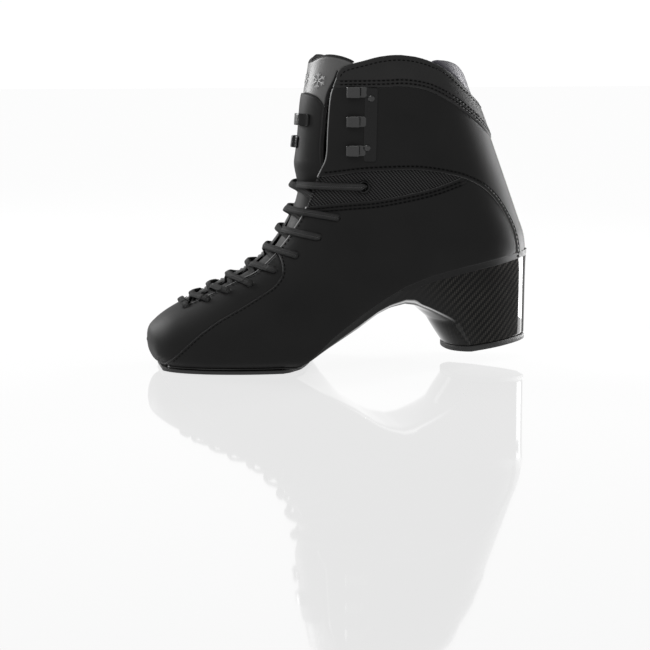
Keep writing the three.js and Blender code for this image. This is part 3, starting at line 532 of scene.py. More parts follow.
def panel(name, field, lift, material, replaced=(), slot=None, thick=1.9, round_scale=1.0,
          rim_material=None, shape=None, body="boot", stitched=()):
    """A sheet of leather on the hull: rounded at its edge, with its cut side showing."""
    skin = Skin(field > -0.05, field)
    skin.cut(0.0, discard=True)
    for level in ROUND[1:]:
        skin.cut(level)
    skin.tidy()
    rise = lift + edge_round(skin.field, round_scale)
    if shape is not None:
        rise = rise + shape(skin)
    points = skin.points + skin.normals * rise[:, None]
    rim = skin.rim()
    corners = sorted({i for edge in rim for i in edge})
    below = {i: len(points) + k for k, i in enumerate(corners)}
    lower = skin.points[corners] + skin.normals[corners] * (lift - thick)
    faces = skin.faces + [[b, a, below[a], below[b]] for a, b in rim]
    obj = make(name, np.vstack([points, lower]), faces, material, body, replaced, slot)
    attribute(obj, "rim", np.concatenate([skin.field, np.zeros(len(lower))]))
    seam = distance(skin.points, on_both(stitched)) if stitched else np.full(len(points), 99.0)
    attribute(obj, "seam", np.concatenate([seam, np.zeros(len(lower))]))
    front = distance(skin.points, on_both([FACING])) if body == "boot" else np.full(len(points), 99.0)
    attribute(obj, "front", np.concatenate([front, np.full(len(lower), 99.0)]))
    if rim_material is not None:
        obj.data.materials.append(rim_material)
        for polygon in obj.data.polygons[len(skin.faces):]:
            polygon.material_index = 1
    return obj


def pillow(name, field, outside, within, material, body="boot", replaced=(), slot=None):
    """A padded sheet on the hull with an outer and an inner skin, joined at its edge."""
    skin = Skin(field > -0.05, field)
    skin.cut(0.0, discard=True)
    for level in SWELL:
        skin.cut(level)
    skin.tidy()
    out = skin.points + skin.normals * outside(skin)[:, None]
    back = skin.points + skin.normals * within(skin)[:, None]
    n = len(out)
    faces = skin.faces + [[i + n for i in reversed(f)] for f in skin.faces]
    faces += [[b, a, a + n, b + n] for a, b in skin.rim()]
    obj = make(name, np.vstack([out, back]), faces, material, body, replaced, slot)
    attribute(obj, "rim", np.concatenate([skin.field, skin.field]))
    return obj


# ---------------------------------------------------------------- materials


GRAIN = 1500.0                   # cells of leather grain to a metre
RIBS = 2750.0                    # slant of the knit's ribs, in radians to a metre
LOOPS = 4600.0
STRANDS = 4600.0                 # strands of the lace's braid, in radians to a metre
STRAND_SLANT = 70.0
LACE_LINES = 9


class Nodes:
    """Short ways of adding nodes to a new material."""

    def __init__(self, name):
        self.material = bpy.data.materials.new(name)
        self.material.use_nodes = True
        self.tree = self.material.node_tree
        self.shader = self.tree.nodes["Principled BSDF"]

    def add(self, kind, inputs=None, **settings):
        node = self.tree.nodes.new(kind)
        for key, value in settings.items():
            setattr(node, key, value)
        for key, value in (inputs or {}).items():
            self.put(node.inputs[key], value)
        return node

    def put(self, socket, value):
        if isinstance(value, bpy.types.NodeSocket):
            self.tree.links.new(value, socket)
        else:
            socket.default_value = value

    def math(self, operation, a, b=0.0):
        return self.add("ShaderNodeMath", {0: a, 1: b}, operation=operation).outputs[0]

    def times(self, a, b):
        return self.math("MULTIPLY", a, b)

    def plus(self, a, b):
        return self.math("ADD", a, b)

    def minus(self, a, b):
        return self.math("SUBTRACT", a, b)

    def sine(self, a):
        return self.math("SINE", a)

    def between(self, share, a, b):
        """The value a where the share is 0, and b where it is 1."""
        return self.add("ShaderNodeMix", {"Factor": share, 2: a, 3: b}, data_type="FLOAT").outputs[0]

    def ramp(self, value, low, high, out_low=0.0, out_high=1.0):
        node = self.add("ShaderNodeMapRange", {"Value": value, "From Min": low, "From Max": high,
                                                "To Min": out_low, "To Max": out_high})
        return node.outputs["Result"]

    def mix(self, factor, a, b):
        node = self.add("ShaderNodeMix", data_type="RGBA")
        self.put(node.inputs["Factor"], factor)
        self.put(node.inputs[6], a)
        self.put(node.inputs[7], b)
        return node.outputs[2]

    def noise(self, where, scale, detail=2.0, rough=0.5):
        node = self.add("ShaderNodeTexNoise", {"Vector": where, "Scale": scale, "Detail": detail,
                                                "Roughness": rough})
        return node.outputs["Fac"]

    def cells(self, where, scale):
        return self.add("ShaderNodeTexVoronoi", {"Vector": where, "Scale": scale}).outputs["Distance"]

    def place(self):
        return self.add("ShaderNodeTexCoord").outputs["Object"]

    def uv(self):
        return self.add("ShaderNodeTexCoord").outputs["UV"]

    def split(self, vector):
        return self.add("ShaderNodeSeparateXYZ", {0: vector}).outputs

    def rim(self, name="rim"):
        return self.add("ShaderNodeAttribute", attribute_name=name).outputs["Fac"]

    def bump(self, height_value, distance_mm, strength=1.0, before=None):
        node = self.add("ShaderNodeBump", {"Height": height_value, "Distance": distance_mm * MM,
                                            "Strength": strength})
        if before is not None:
            self.put(node.inputs["Normal"], before)
        return node.outputs["Normal"]

    def set(self, **values):
        for key, value in values.items():
            self.put(self.shader.inputs[key.replace("_", " ")], value)


def grey(level, warm=0.0):
    return (level * (1 + warm), level, level * (1 - warm), 1.0)


def leather_material(name="leather", level=0.0068, grooves=(), rough=0.56, specular=0.11):
    n = Nodes(name)
    where = n.place()
    grain = n.cells(where, GRAIN)
    fine = n.noise(where, 5200.0, 3.0)
    broad = n.noise(where, 28.0, 3.0)
    pores = n.ramp(grain, 0.0, 0.6)
    tone = n.mix(n.ramp(broad, 0.3, 0.7), grey(level), grey(level * 1.35, 0.01))
    # Lighter grey within 0.7 mm of each panel's edge: a painted highlight where the rounded edge catches
    # light.
    edge_highlight = n.mix(n.ramp(n.rim(), 0.0, 0.7, 0.8, 0.0), tone, grey(0.035))
    n.set(Base_Color=n.mix(n.ramp(n.rim("front"), 0.4, 1.1, 1.0, 0.0), edge_highlight, grey(0.26)))
    n.set(Roughness=n.ramp(broad, 0.2, 0.8, rough - 0.05, rough + 0.07))
    n.set(Specular_IOR_Level=specular)
    normal = n.bump(n.plus(pores, n.times(fine, 0.5)), 0.05, 0.5)
    seam = n.rim("seam")
    for at in grooves:
        off = n.math("ABSOLUTE", n.minus(seam, at))
        normal = n.bump(n.ramp(off, 0.0, 0.9), 0.5, 1.0, normal)
    n.set(Normal=normal)
    return n.material


def raw_edge_material():
    n = Nodes("raw_edge")
    where = n.place()
    fibre = n.noise(where, 1800.0, 4.0, 0.7)
    n.set(Base_Color=n.mix(fibre, grey(0.09), grey(0.26)), Roughness=0.85, Specular_IOR_Level=0.2)
    n.set(Normal=n.bump(fibre, 0.12, 0.8))
    return n.material


def thread_material():
    n = Nodes("thread")
    where = n.place()
    twist = n.add("ShaderNodeTexWave", {"Vector": where, "Scale": 620.0, "Distortion": 1.5},
                  wave_type="BANDS", bands_direction="DIAGONAL").outputs["Fac"]
    n.set(Base_Color=n.mix(twist, grey(0.0004), grey(0.0022)), Roughness=0.6)
    n.set(Specular_IOR_Level=0.04, Normal=n.bump(twist, 0.08, 0.6))
    return n.material


def knit_material():
    """Black knit with fine ribs on the slant, and stitches along each rib."""
    n = Nodes("knit")
    x, _, z = n.split(n.place())
    slant = n.times(n.plus(x, n.times(z, 0.9)), RIBS)
    cross = n.times(n.minus(z, n.times(x, 0.35)), LOOPS)
    rib = n.sine(slant)
    loop = n.sine(n.plus(cross, n.times(rib, 0.9)))
    tall = n.plus(n.ramp(rib, -1, 1), n.times(n.ramp(loop, -1, 1), 0.55))
    fuzz = n.noise(n.place(), 3800.0, 3.0)
    # Rib tops are painted lighter and the hollows between them darker: painted light and shade that follow
    # the knit's relief, broken up by the fuzz.
    lit = n.times(n.ramp(tall, 0.45, 1.4), n.ramp(fuzz, 0.2, 0.8, 0.7, 1.1))
    n.set(Base_Color=n.mix(lit, grey(0.0006), grey(0.045)), Roughness=0.72)
    n.set(Specular_IOR_Level=0.12)
    n.set(Normal=n.bump(tall, 0.45, 0.9))
    return n.material


TOW = 1.32                       # width of a tow of the twill
WEAVE_SHOWS = (84, 112)          # x + 0.7 z where the weave begins to show, and where it shows in full


def carbon_material():
    """Two-by-two twill of flat tows under a clear gloss coat, on the piece's own UV map in metres."""
    n = Nodes("carbon_twill")
    u, v, _ = n.split(n.uv())
    x, _, z = n.split(n.place())
    across, up = n.math("DIVIDE", u, TOW * MM), n.math("DIVIDE", v, TOW * MM)
    column, row = n.math("FLOOR", across), n.math("FLOOR", up)
    order = n.math("FLOORED_MODULO", n.minus(column, row), 4.0)
    warp = n.math("LESS_THAN", order, 1.9)
    bend_u = n.sine(n.times(n.math("FRACT", across), math.pi))
    bend_v = n.sine(n.times(n.math("FRACT", up), math.pi))
    crown = n.between(warp, bend_v, bend_u)
    thread = n.sine(n.times(n.between(warp, up, across), 38.0))
    sheen = n.times(crown, n.ramp(thread, -1, 1, 0.75, 1.0))
    clear = n.ramp(n.plus(n.times(x, 1000.0), n.times(z, 700.0)), *WEAVE_SHOWS, 0.12, 1.0)
    patchy = n.ramp(n.noise(n.place(), 45.0, 2.0), 0.35, 0.7, 0.55, 1.1)
    sheen = n.times(sheen, n.times(clear, patchy))
    # The tows' colour is painted light: each crown is painted lighter as a sheen, and the warp tows are a
    # lit copy and the weft tows a shaded copy of the same black fibre.
    dark = n.mix(sheen, grey(0.0004), grey(0.0025))
    light = n.mix(sheen, grey(0.0008), (0.032, 0.030, 0.027, 1))
    weave = n.mix(warp, dark, light)
    # Where the "edge" attribute is set, the colour turns bright grey and the surface turns metallic: a
    # painted highlight line along the arch's lower edge.
    n.set(Base_Color=n.mix(n.rim("edge"), weave, grey(0.75)), Roughness=0.3, Specular_IOR_Level=0.0)
    n.set(Coat_Weight=n.ramp(clear, 0.12, 1.0, 1.0, 0.5), Coat_Roughness=0.03, Coat_IOR=1.33)
    n.set(Metallic=n.rim("edge"), Normal=n.bump(crown, 0.10, 0.6))
    return n.material


def rubber_material(name="rubber", level=0.008, rough=0.6):
    n = Nodes(name)
    where = n.place()
    fine = n.noise(where, 2600.0, 3.0)
    broad = n.noise(where, 60.0, 2.0)
    n.set(Base_Color=n.mix(broad, grey(level), grey(level * 1.4)))
    n.set(Roughness=n.ramp(fine, 0.3, 0.7, rough - 0.06, rough + 0.06), Specular_IOR_Level=0.2)
    n.set(Normal=n.bump(fine, 0.03, 0.5))
    return n.material


def metal_material(name="black_metal", dark=0.007, light=0.016, coat=0.1):
    n = Nodes(name)
    where = n.place()
    brushed = n.noise(n.add("ShaderNodeMapping", {"Vector": where, "Scale": (1.0, 1.0, 0.08)}).outputs[0],
                      5200.0, 3.0)
    n.set(Base_Color=n.mix(brushed, grey(dark), grey(light)), Metallic=0.8, Specular_IOR_Level=0.3)
    n.set(Roughness=n.ramp(brushed, 0.3, 0.7, 0.18, 0.28))
    n.set(Coat_Weight=coat, Coat_Roughness=0.12, Normal=n.bump(brushed, 0.015, 0.4))
    return n.material


def lace_material():
    """Dark grey braid: slanted strands both ways from the strip's middle, on its UV map in metres."""
    n = Nodes("lace_weave")
    along, across, _ = n.split(n.uv())
    middle = n.math("ABSOLUTE", n.minus(across, 0.5))
    slant = n.minus(n.times(along, STRANDS), n.times(middle, STRAND_SLANT))
    strand = n.sine(slant)
    lines = n.sine(n.times(across, 2 * math.pi * LACE_LINES))
    tall = n.plus(n.ramp(strand, -1, 1), n.times(n.ramp(lines, -1, 1), 0.5))
    fuzz = n.noise(n.place(), 1900.0, 4.0, 0.65)
    # The strands' crowns are painted lighter and the gaps between them darker: painted light and shade over
    # the yarn's own dark grey, broken up by the fuzz.
    lit = n.times(n.ramp(tall, 0.2, 1.4), n.ramp(fuzz, 0.3, 0.7, 0.45, 1.25))
    n.set(Base_Color=n.mix(lit, grey(0.003), grey(0.085)), Roughness=0.82)
    n.set(Specular_IOR_Level=0.12, Normal=n.bump(n.plus(tall, fuzz), 0.3, 1.0))
    return n.material


def satin_material():
    """The padded collar's smooth grey coating, with soft creases."""
    n = Nodes("collar_satin")
    where = n.place()
    crease = n.noise(where, 55.0, 4.0, 0.55)
    fine = n.cells(where, 1900.0)
    n.set(Base_Color=n.mix(n.ramp(crease, 0.3, 0.7), (0.040, 0.038, 0.046, 1), (0.080, 0.076, 0.090, 1)))
    n.set(Roughness=0.5, Specular_IOR_Level=0.15)
    n.set(Normal=n.bump(fine, 0.03, 0.3, n.bump(crease, 0.5, 0.5)))
    return n.material


def lining_material():
    n = Nodes("lining_fabric")
    x, y, z = n.split(n.place())
    warp = n.sine(n.times(n.plus(x, y), 7000.0))
    weft = n.sine(n.times(z, 7000.0))
    weave = n.ramp(n.times(warp, weft), -1, 1)
    broad = n.noise(n.place(), 40.0, 3.0)
    n.set(Base_Color=n.mix(n.times(weave, broad), grey(0.008), grey(0.035)), Roughness=0.7)
    n.set(Specular_IOR_Level=0.15, Normal=n.bump(weave, 0.08, 0.6))
    return n.material


def board_material():
    n = Nodes("fibre_board")
    fibre = n.noise(n.place(), 900.0, 5.0, 0.7)
    n.set(Base_Color=n.mix(fibre, (0.16, 0.12, 0.08, 1), (0.30, 0.24, 0.17, 1)), Roughness=0.85)
    n.set(Normal=n.bump(fibre, 0.08, 0.6))
    return n.material


def sleeve_material():
    n = Nodes("lace_sleeve")
    speck = n.noise(n.place(), 700.0, 2.0)
    n.set(Base_Color=n.mix(speck, grey(0.012), grey(0.03)), Roughness=0.18, Coat_Weight=0.6)
    n.set(Normal=n.bump(speck, 0.03, 0.3))
    return n.material


# ---------------------------------------------------------------- camera, light and floor


def add_camera():
    target = Vector((-10, 0, 26.1)) * MM
    place = Vector((-256.3, -1158.7, 218.0)) * MM
    data = bpy.data.cameras.new("camera")
    data.lens = 95.2
    data.sensor_width = 36
    camera = bpy.data.objects.new("camera", data)
    camera.location = place
    camera.rotation_euler = (target - place).to_track_quat("-Z", "Y").to_euler()
    bpy.context.scene.collection.objects.link(camera)
    bpy.context.scene.camera = camera


def add_area(name, place, aim, size, power, size_y=None):
    data = bpy.data.lights.new(name, "AREA")
    data.energy = power
    data.size = size
    if size_y is not None:
        data.shape = "RECTANGLE"
        data.size_y = size_y
    light = bpy.data.objects.new(name, data)
    light.location = place
    light.visible_camera = False
    light.rotation_euler = (Vector(aim) - Vector(place)).to_track_quat("-Z", "Y").to_euler()
    bpy.context.scene.collection.objects.link(light)


def add_studio():
    """A white sweep: bright at the horizon and softer overhead, with softboxes on both sides."""
    world = bpy.data.worlds.new("studio")
    bpy.context.scene.world = world
    world.use_nodes = True
    tree = world.node_tree
    background = tree.nodes["Background"]
    direction = tree.nodes.new("ShaderNodeTexCoord")
    split = tree.nodes.new("ShaderNodeSeparateXYZ")
    height_range = tree.nodes.new("ShaderNodeMapRange")
    for key, value in (("From Min", 0.10), ("From Max", 0.65), ("To Min", 1.02), ("To Max", 0.40)):
        height_range.inputs[key].default_value = value
    tree.links.new(direction.outputs["Generated"], split.inputs[0])
    tree.links.new(split.outputs["Z"], height_range.inputs["Value"])
    tree.links.new(height_range.outputs["Result"], background.inputs["Strength"])
    background.inputs["Color"].default_value = (1, 1, 1, 1)
    add_area("left_softbox", (-0.85, 0.72, 0.5), (-0.05, 0, 0.1), 0.5, 16)
    add_area("front_softbox", (-0.6, -0.8, 1.05), (-0.03, 0, 0.1), 0.6, 4)
    add_area("toe_softbox", (-0.9, -0.1, 0.7), (-0.1, 0, 0.03), 0.4, 0.7)
    add_area("right_strip", (0.90, 0.36, 0.25), (0.13, 0, 0.05), 0.16, 12, 0.8)
    add_area("heel_card", (0.285, 0.035, 0.045), (0.13, -0.02, 0.045), 0.05, 0.7, 0.09)
    floor_mesh = bpy.data.meshes.new("floor")
    reach = 8.0
    corners = [(-reach, -reach), (reach, -reach), (reach, reach), (-reach, reach)]
    floor_mesh.from_pydata([(x, y, CAD_BOX[0].z - 0.0002) for x, y in corners], [], [(0, 1, 2, 3)])
    floor = bpy.data.objects.new("floor", floor_mesh)
    n = Nodes("floor")
    n.set(Base_Color=(0.06, 0.06, 0.06, 1), Roughness=0.9, Specular_IOR_Level=0.0)
    n.set(Emission_Color=(1, 1, 1, 1), Emission_Strength=1.0)
    gloss = n.add("ShaderNodeBsdfGlossy", {"Roughness": 0.04})
    mixed = n.add("ShaderNodeMixShader", {"Fac": 0.26})
    n.tree.links.new(n.shader.outputs[0], mixed.inputs[1])
    n.tree.links.new(gloss.outputs[0], mixed.inputs[2])
    n.tree.links.new(mixed.outputs[0], n.tree.nodes["Material Output"].inputs["Surface"])
    floor_mesh.materials.append(n.material)
    bpy.context.scene.collection.objects.link(floor)


# ---------------------------------------------------------------- lace


def flat_cord(points, width, thick, facing, sides=14):
    """Rings of a flat strip with round edges along points, its flat side turned outwards from the boot."""
    points = np.asarray(points, float)
    along = unit(np.gradient(points, axis=0))
    angle = np.linspace(0, 2 * math.pi, sides, endpoint=False)
    a = np.sign(np.cos(angle)) * np.abs(np.cos(angle)) ** 0.7
    b = np.sign(np.sin(angle)) * np.abs(np.sin(angle)) ** 0.85
    flat = unit(facing[0] - along[0] * (facing[0] @ along[0]))
    rings = []
    for i, (point, ahead) in enumerate(zip(points, along)):
        carried = unit(flat - ahead * (flat @ ahead))
        wanted = facing[i] - ahead * (facing[i] @ ahead)
        weight = np.linalg.norm(wanted)
        if weight > 0.3:
            wanted = wanted / weight * (1 if wanted @ carried >= 0 else -1)
            carried = unit(carried + (wanted - carried) * min(1.0, (weight - 0.3) * 0.9))
        flat = carried
        across = np.cross(ahead, flat)
        rings.append(point + np.outer(a * width / 2, across) + np.outer(b * thick / 2, flat))
    return np.array(rings)


def lace_uv(obj, rings):
    """UV map in metres along the strip, and from 0 to 1 round it."""
    n, m = rings.shape[:2]
    middle = rings.mean(1)
    length = np.concatenate([[0], np.cumsum(np.linalg.norm(np.diff(middle, axis=0), axis=1))]) * MM
    turn = np.linspace(0, 1, m, endpoint=False)
    layer = obj.data.uv_layers.new(name="UVMap")
    loops = np.zeros(len(obj.data.loops), int)
    obj.data.loops.foreach_get("vertex_index", loops)
    ring_of, place = loops // m, loops % m
    side = np.abs(turn[place] * 2 - 1)
    values = np.column_stack([length[np.minimum(ring_of, n - 1)], side])
    layer.data.foreach_set("uv", values.ravel().astype(np.float32))


def mix(a, b, share):
    return [a[0] + (b[0] - a[0]) * share, a[1] + (b[1] - a[1]) * share]


def towards(a, b, reach):
    return mix(a, b, reach / math.hypot(b[0] - a[0], b[1] - a[1]))


def lift_from(place, side, out):
    point = on_hull([place], side)[0]
    normal = nearest(point)[1][0]
    return point[0] + normal * out, normal


def lace_half(side, family):
    """Centre line of half the lace from the bar to a ring, with the outward direction at each point."""
    route = []
    for i, eyelet in enumerate(EYELETS):
        here = side if i % 2 == 0 else -side
        ring = i == len(EYELETS) - 1
        if i == 0:
            route += [lift_from(mix(eyelet, BAR_MIDDLE, 0.5), here, OVER),
                      lift_from(towards(eyelet, BAR_MIDDLE, 1.6), here, OVER)]
        else:
            crossing = CROSSINGS[i - 1]
            point = lift_from(crossing, here, CROSSING_OUT[family])[0]
            point[1] = 0
            route.append((point, unit(np.array([-0.8, 0.0, 0.6]))))
            for share in (0.82, 0.5, 0.25):
                route.append(lift_from(mix(eyelet, crossing, share), here, OVER))
            route.append(lift_from(towards(eyelet, crossing, 3.2), here, 3.0 if ring else OVER * 1.05))
        for out in ((2.6, -1.6, -7.2) if ring else (0.5, -3.4)):
            route.append(lift_from(eyelet, here, out))
        if not ring:
            for share, out in ((0.22, UNDER), (0.5, UNDER), (0.82, UNDER + 0.4)):
                route.append(lift_from(mix(eyelet, CROSSINGS[i], share), here, out))
    return route


def add_lace(material):
    first, second = lace_half(OUTER, 0), lace_half(INNER, 1)
    middle = lift_from(BAR_MIDDLE, OUTER, 1.5)[0]
    middle[1] = BAR_SHIFT
    route = first[::-1] + [(middle, unit(np.array([-0.55, 0.0, 0.83])))] + second
    line = np.array([list(p) + list(n) for p, n in route])
    fine = smooth(line, 1.0)
    rings = flat_cord(fine[:, :3], LACE_WIDTH, LACE_THICK, unit(fine[:, 3:]))
    points, faces = strip(rings)
    lace = make("lace_strip", points, faces, material, "boot", ("lace",), "lace_weave")
    lace_uv(lace, rings)


COIL_CENTRE = (76.5, 75.8)       # x and z of the footbed below the coils
COIL_SLOPE = 0.213
COIL_THICK = 13.2
COIL_RADII = (24.4, 19.9)        # of the outer and the inner turns
COIL_RISE = 4.4                  # from one row of turns to the next
COIL_FOOT = 2.35                 # the lowest row's height above the footbed
COIL_TURNS = ((0, 0), (0, 1), (1, 1), (1, 0), (2, 0), (2, 1))   # row and radius of each turn in order
COIL_STEPS = 36
TAIL_ROUND = (4.4, 3.4)          # width and thickness of the loose ends


def on_footbed(points):
    """Points made round the origin, tilted to the footbed's slope and set on it below the coils."""
    x, y, z = np.asarray(points, float).T
    c, s = math.cos(COIL_SLOPE), math.sin(COIL_SLOPE)
    return np.column_stack([COIL_CENTRE[0] + c * x - s * z, y, COIL_CENTRE[1] + s * x + c * z])


def coil_points(side, order):
    """Turns of a neat coil that winds in, row on row, and ends on the footbed beside its middle."""
    points = []
    base = order * (COIL_THICK + 0.3) + COIL_FOOT
    places = np.array([[COIL_RADII[radius], base + COIL_RISE * row] for row, radius in COIL_TURNS])
    for k in range((len(COIL_TURNS) - 1) * COIL_STEPS + 1):
        turn = k / COIL_STEPS
        i = min(int(turn), len(COIL_TURNS) - 2)
        share = min(1.0, (turn - i) * 4)
        share = share * share * (3 - 2 * share)
        stays = turn < 0.75
        radius, z = places[i] if stays else places[i] + (places[i + 1] - places[i]) * share
        angle = math.pi / 2 - turn * 2 * math.pi
        points.append([radius * math.cos(angle), side * radius * math.sin(angle), z])
    return np.array(points)


def add_tails(material):
    for order, (side, word) in enumerate(SIDES):
        start = lift_from(EYELETS[-1], side, -TAIL_START)[0]
        route = [start] + [np.array([x, side * y, z]) for x, y, z in TAIL_ROUTE]
        turns = on_footbed(coil_points(side, order))
        lead = on_footbed([[-14, side * 24.2, 2.35 + order * 6]])
        line = smooth(np.vstack([route, lead, turns]), 1.2)
        line = resample(line, 1.2)
        facing = np.tile([0.0, 0.0, 1.0], (len(line), 1))
        rings = flat_cord(line, *TAIL_ROUND, facing, 10)
        points, faces = strip(rings)
        tail = make(f"lace_end_{word}", points, faces, material, "boot",
                    (f"lace_tail_{word}", f"lace_coil_{word}"), "lace_weave")
        lace_uv(tail, rings)


# ---------------------------------------------------------------- the upper

COLLAR = {OUTER: smooth(COLLAR_LINE), INNER: smooth(INNER_COLLAR_LINE)}
BAND = smooth(BAND_LINE)
CUFF = smooth(CUFF_LINE)
QUARTER = smooth(QUARTER_TOP)
TOE = smooth(TOE_SEAM)
FACING = smooth(FACING_EDGE)
SOLE = resample(np.array(SOLE_LINE, float), 2.0)
BAND_ROWS = (2.3, 4.6)           # distances of the sewn rows from a panel's edge
EDGE_ROWS = (2.4,)
HOLE_RADIUS = 2.2
TOE_LIFT = -0.35                 # how far each panel's surface stands out of the hull
QUARTER_LIFT = 0.1
CUFF_LIFT = 0.7
BAND_LIFT = 1.3


ABOVE_BAND = np.vstack([BAND, [[160, SKY], [FAR, SKY]]])
CUFF_AREA = np.vstack([CUFF, [[170, 70], [170, 150]], BAND[::-1]])
TOE_AREA = np.vstack([TOE, [[-160, 100], [-160, 0]]])
KNIT_AREA = np.vstack([QUARTER, CUFF[CUFF[:, 0] < 80.2][::-1]])


def under_collar(side):
    return np.vstack([[[FAR, -30], [FAR, COLLAR[side][0][1]]], COLLAR[side], [[200, 140], [200, -30]]])


def below_collar():
    """Which points of the hull's grid lie below the collar."""
    outer, inner = (inside(under_collar(side), SIDE_VIEW) for side, _ in SIDES)
    return np.where(FLAT[:, 1] < 0, outer, inner)


def front_polygon(line):
    return np.vstack([[[line[0][0], SKY]], line, [[FAR, line[-1][1] + 20], [FAR, SKY]]])


def regions():
    """Which points of the hull's grid each panel of the upper covers."""
    x, z = SIDE_VIEW.T
    throat = inside(front_polygon(FACING), SIDE_VIEW)
    upper = ~throat & below_collar() & (z > height(SOLE_LINE, x) - 0.8)
    over_band, cuff, toe, bare = (inside(area, SIDE_VIEW)
                                  for area in (ABOVE_BAND, CUFF_AREA, TOE_AREA, KNIT_AREA))
    knit = inside(np.vstack([QUARTER - [0, 3], CUFF[CUFF[:, 0] < 82][::-1] + [0, 3]]), SIDE_VIEW)
    return {
        "band": upper & over_band,
        "cuff": upper & cuff & ~over_band,
        "toe": upper & toe & ~over_band,
        "knit": upper & knit,
        "quarter": upper & ~toe & ~cuff & ~bare & ~over_band,
    }


def eyelet_holes():
    return [(on_hull([place], side)[0][0], HOLE_RADIUS) for side, _ in SIDES for place in EYELETS[:-1]]


def add_upper(finish):
    area = regions()
    sole = SOLE - [0, 0.8]
    holes = eyelet_holes()
    panel("knit_insert", signed_field(area["knit"], [QUARTER - [0, 3], CUFF + [0, 3], FACING]), -0.85,
          finish["knit"], ("mesh_insert_lateral", "mesh_insert_medial"), "knit_mesh", thick=1.0)
    panel("toe_cap_panel", signed_field(area["toe"], [TOE, FACING, sole], holes), TOE_LIFT,
          finish["leather"], ("toe_panel",), "outer_leather", rim_material=finish["raw"], stitched=[FACING])
    panel("quarter_panels", signed_field(area["quarter"], [TOE, QUARTER, CUFF, FACING, sole], holes),
          QUARTER_LIFT, finish["two_rows"], ("quarter_lateral", "quarter_medial"), "outer_leather",
          rim_material=finish["raw"], stitched=[QUARTER])
    panel("cuff_panels", signed_field(area["cuff"], [CUFF, BAND, FACING, sole]), CUFF_LIFT,
          finish["leather"], ("cuff_lateral", "cuff_medial"), "outer_leather", thick=2.5,
          rim_material=finish["raw"], stitched=[CUFF])
    panel("band_panel", signed_field(area["band"], [COLLAR, BAND, FACING]), BAND_LIFT, finish["band"],
          ("collar_band",), "outer_leather", thick=3.1, stitched=[BAND], round_scale=2.0)


STITCH_PITCH = 3.1
STITCH_LENGTH = 2.35
STITCH_RADIUS = 0.33
STITCH_LINE = (                  # share of the length, share of the radius, and rise along a stitch
    (-0.5, 0.25, -0.26), (-0.36, 0.85, 0.0), (0, 1, 0.12), (0.36, 0.85, 0.0), (0.5, 0.25, -0.26),
)


def stitch(parts, centre, along, normal):
    """One stitch: a short bent thread whose ends dive into the leather."""
    across = np.cross(normal, along)
    angle = np.linspace(0, 2 * math.pi, 7)[:-1]
    around = np.outer(np.cos(angle), across) + np.outer(np.sin(angle), normal)
    rings = [centre + along * share * STITCH_LENGTH + normal * rise + STITCH_RADIUS * size * around
             for share, size, rise in STITCH_LINE]
    parts.add(*strip(rings))


def stitch_row(parts, curve, inset, within, lift):
    """Stitches that follow a curve on the hull, moved into a region by an inset."""
    curve = resample(curve, 1.0)
    if len(curve) < 6:
        return
    places, normals = nearest(curve)
    ahead = unit(np.gradient(curve, axis=0))
    sideways = unit(np.cross(normals, ahead))
    for sign in (1, -1):
        moved, facing = nearest(places + sideways * sign * inset)
        good = within(moved[:, [0, 2]])
        if good.mean() < 0.3:
            continue
        even = resample(np.column_stack([moved, facing, good]), STITCH_PITCH)
        for k in range(1, len(even) - 1):
            if even[k, 6] > 0.9:
                normal = unit(even[k, 3:6])
                along = even[k + 1, :3] - even[k - 1, :3]
                along = unit(along - normal * (along @ normal))
                stitch(parts, even[k, :3] + normal * lift, along, normal)
        return


def in_polygon(polygon, *outside):
    """A test of whether side-view places lie in a polygon, and in none of some others."""
    def within(xz):
        good = inside(polygon, xz)
        for other in outside:
            good &= ~inside(other, xz)
        return good
    return within


def stitch_rows(side):
    """The sewn lines of one side: curve, distances from it, where it runs, and its height on the hull."""
    throat = front_polygon(FACING + [2.6, 0])
    over_sole = np.vstack([SOLE + [0, 3], [[200, SKY], [-200, SKY]]])
    return (
        (BAND, BAND_ROWS, in_polygon(ABOVE_BAND, throat), BAND_LIFT),
        (COLLAR[side], (3.4,), in_polygon(under_collar(side), throat), BAND_LIFT),
        (CUFF, EDGE_ROWS, in_polygon(CUFF_AREA, throat), CUFF_LIFT),
        (QUARTER, BAND_ROWS, in_polygon(over_sole, throat, KNIT_AREA, CUFF_AREA), QUARTER_LIFT),
        (TOE, (1.8,), in_polygon(over_sole, throat, TOE_AREA), QUARTER_LIFT),
        (FACING[FACING[:, 1] < 190], (2.6,), in_polygon(over_sole, front_polygon(FACING)), QUARTER_LIFT),
    )


def add_stitches(thread):
    parts = Parts()
    for side, _ in SIDES:
        for line, insets, within, lift in stitch_rows(side):
            for run in runs(line, side):
                for inset in insets:
                    stitch_row(parts, run, inset, within, lift + 0.03)
    parts.make("stitching", thread, "boot", slot="outer_leather")


# ---------------------------------------------------------------- lining, collar pad and footbed

LINING_FRONT = smooth(LINING_EDGE)
PAD_RIM = smooth(PAD_TOP)
PAD_FRONT = [
    [60, 209.4], [58, 207], [60, 196], [62, 186], [68, 172], [74, 160], [88, 150], [140, 146],
]


def add_lining(material):
    x, z = SIDE_VIEW.T
    ahead = inside(front_polygon(LINING_FRONT), SIDE_VIEW)
    within = ~ahead & below_collar() & (z > height(SOLE_LINE, x) + 3)
    field = signed_field(within, [LINING_FRONT, COLLAR, SOLE + [0, 3]])

    def inner(skin):
        swell = np.exp(-((skin.points[:, 2] - 168) / 26) ** 2)
        return -1.7 - 5.1 * (1 - np.exp(-skin.field / 2.2)) - 1.2 * swell * np.clip(skin.field / 10, 0, 1)

    pillow("boot_lining", field, lambda skin: np.full(len(skin.points), -1.5), inner, material,
           replaced=("lining", "ankle_pad_lateral", "ankle_pad_medial"), slot="lining_fabric")


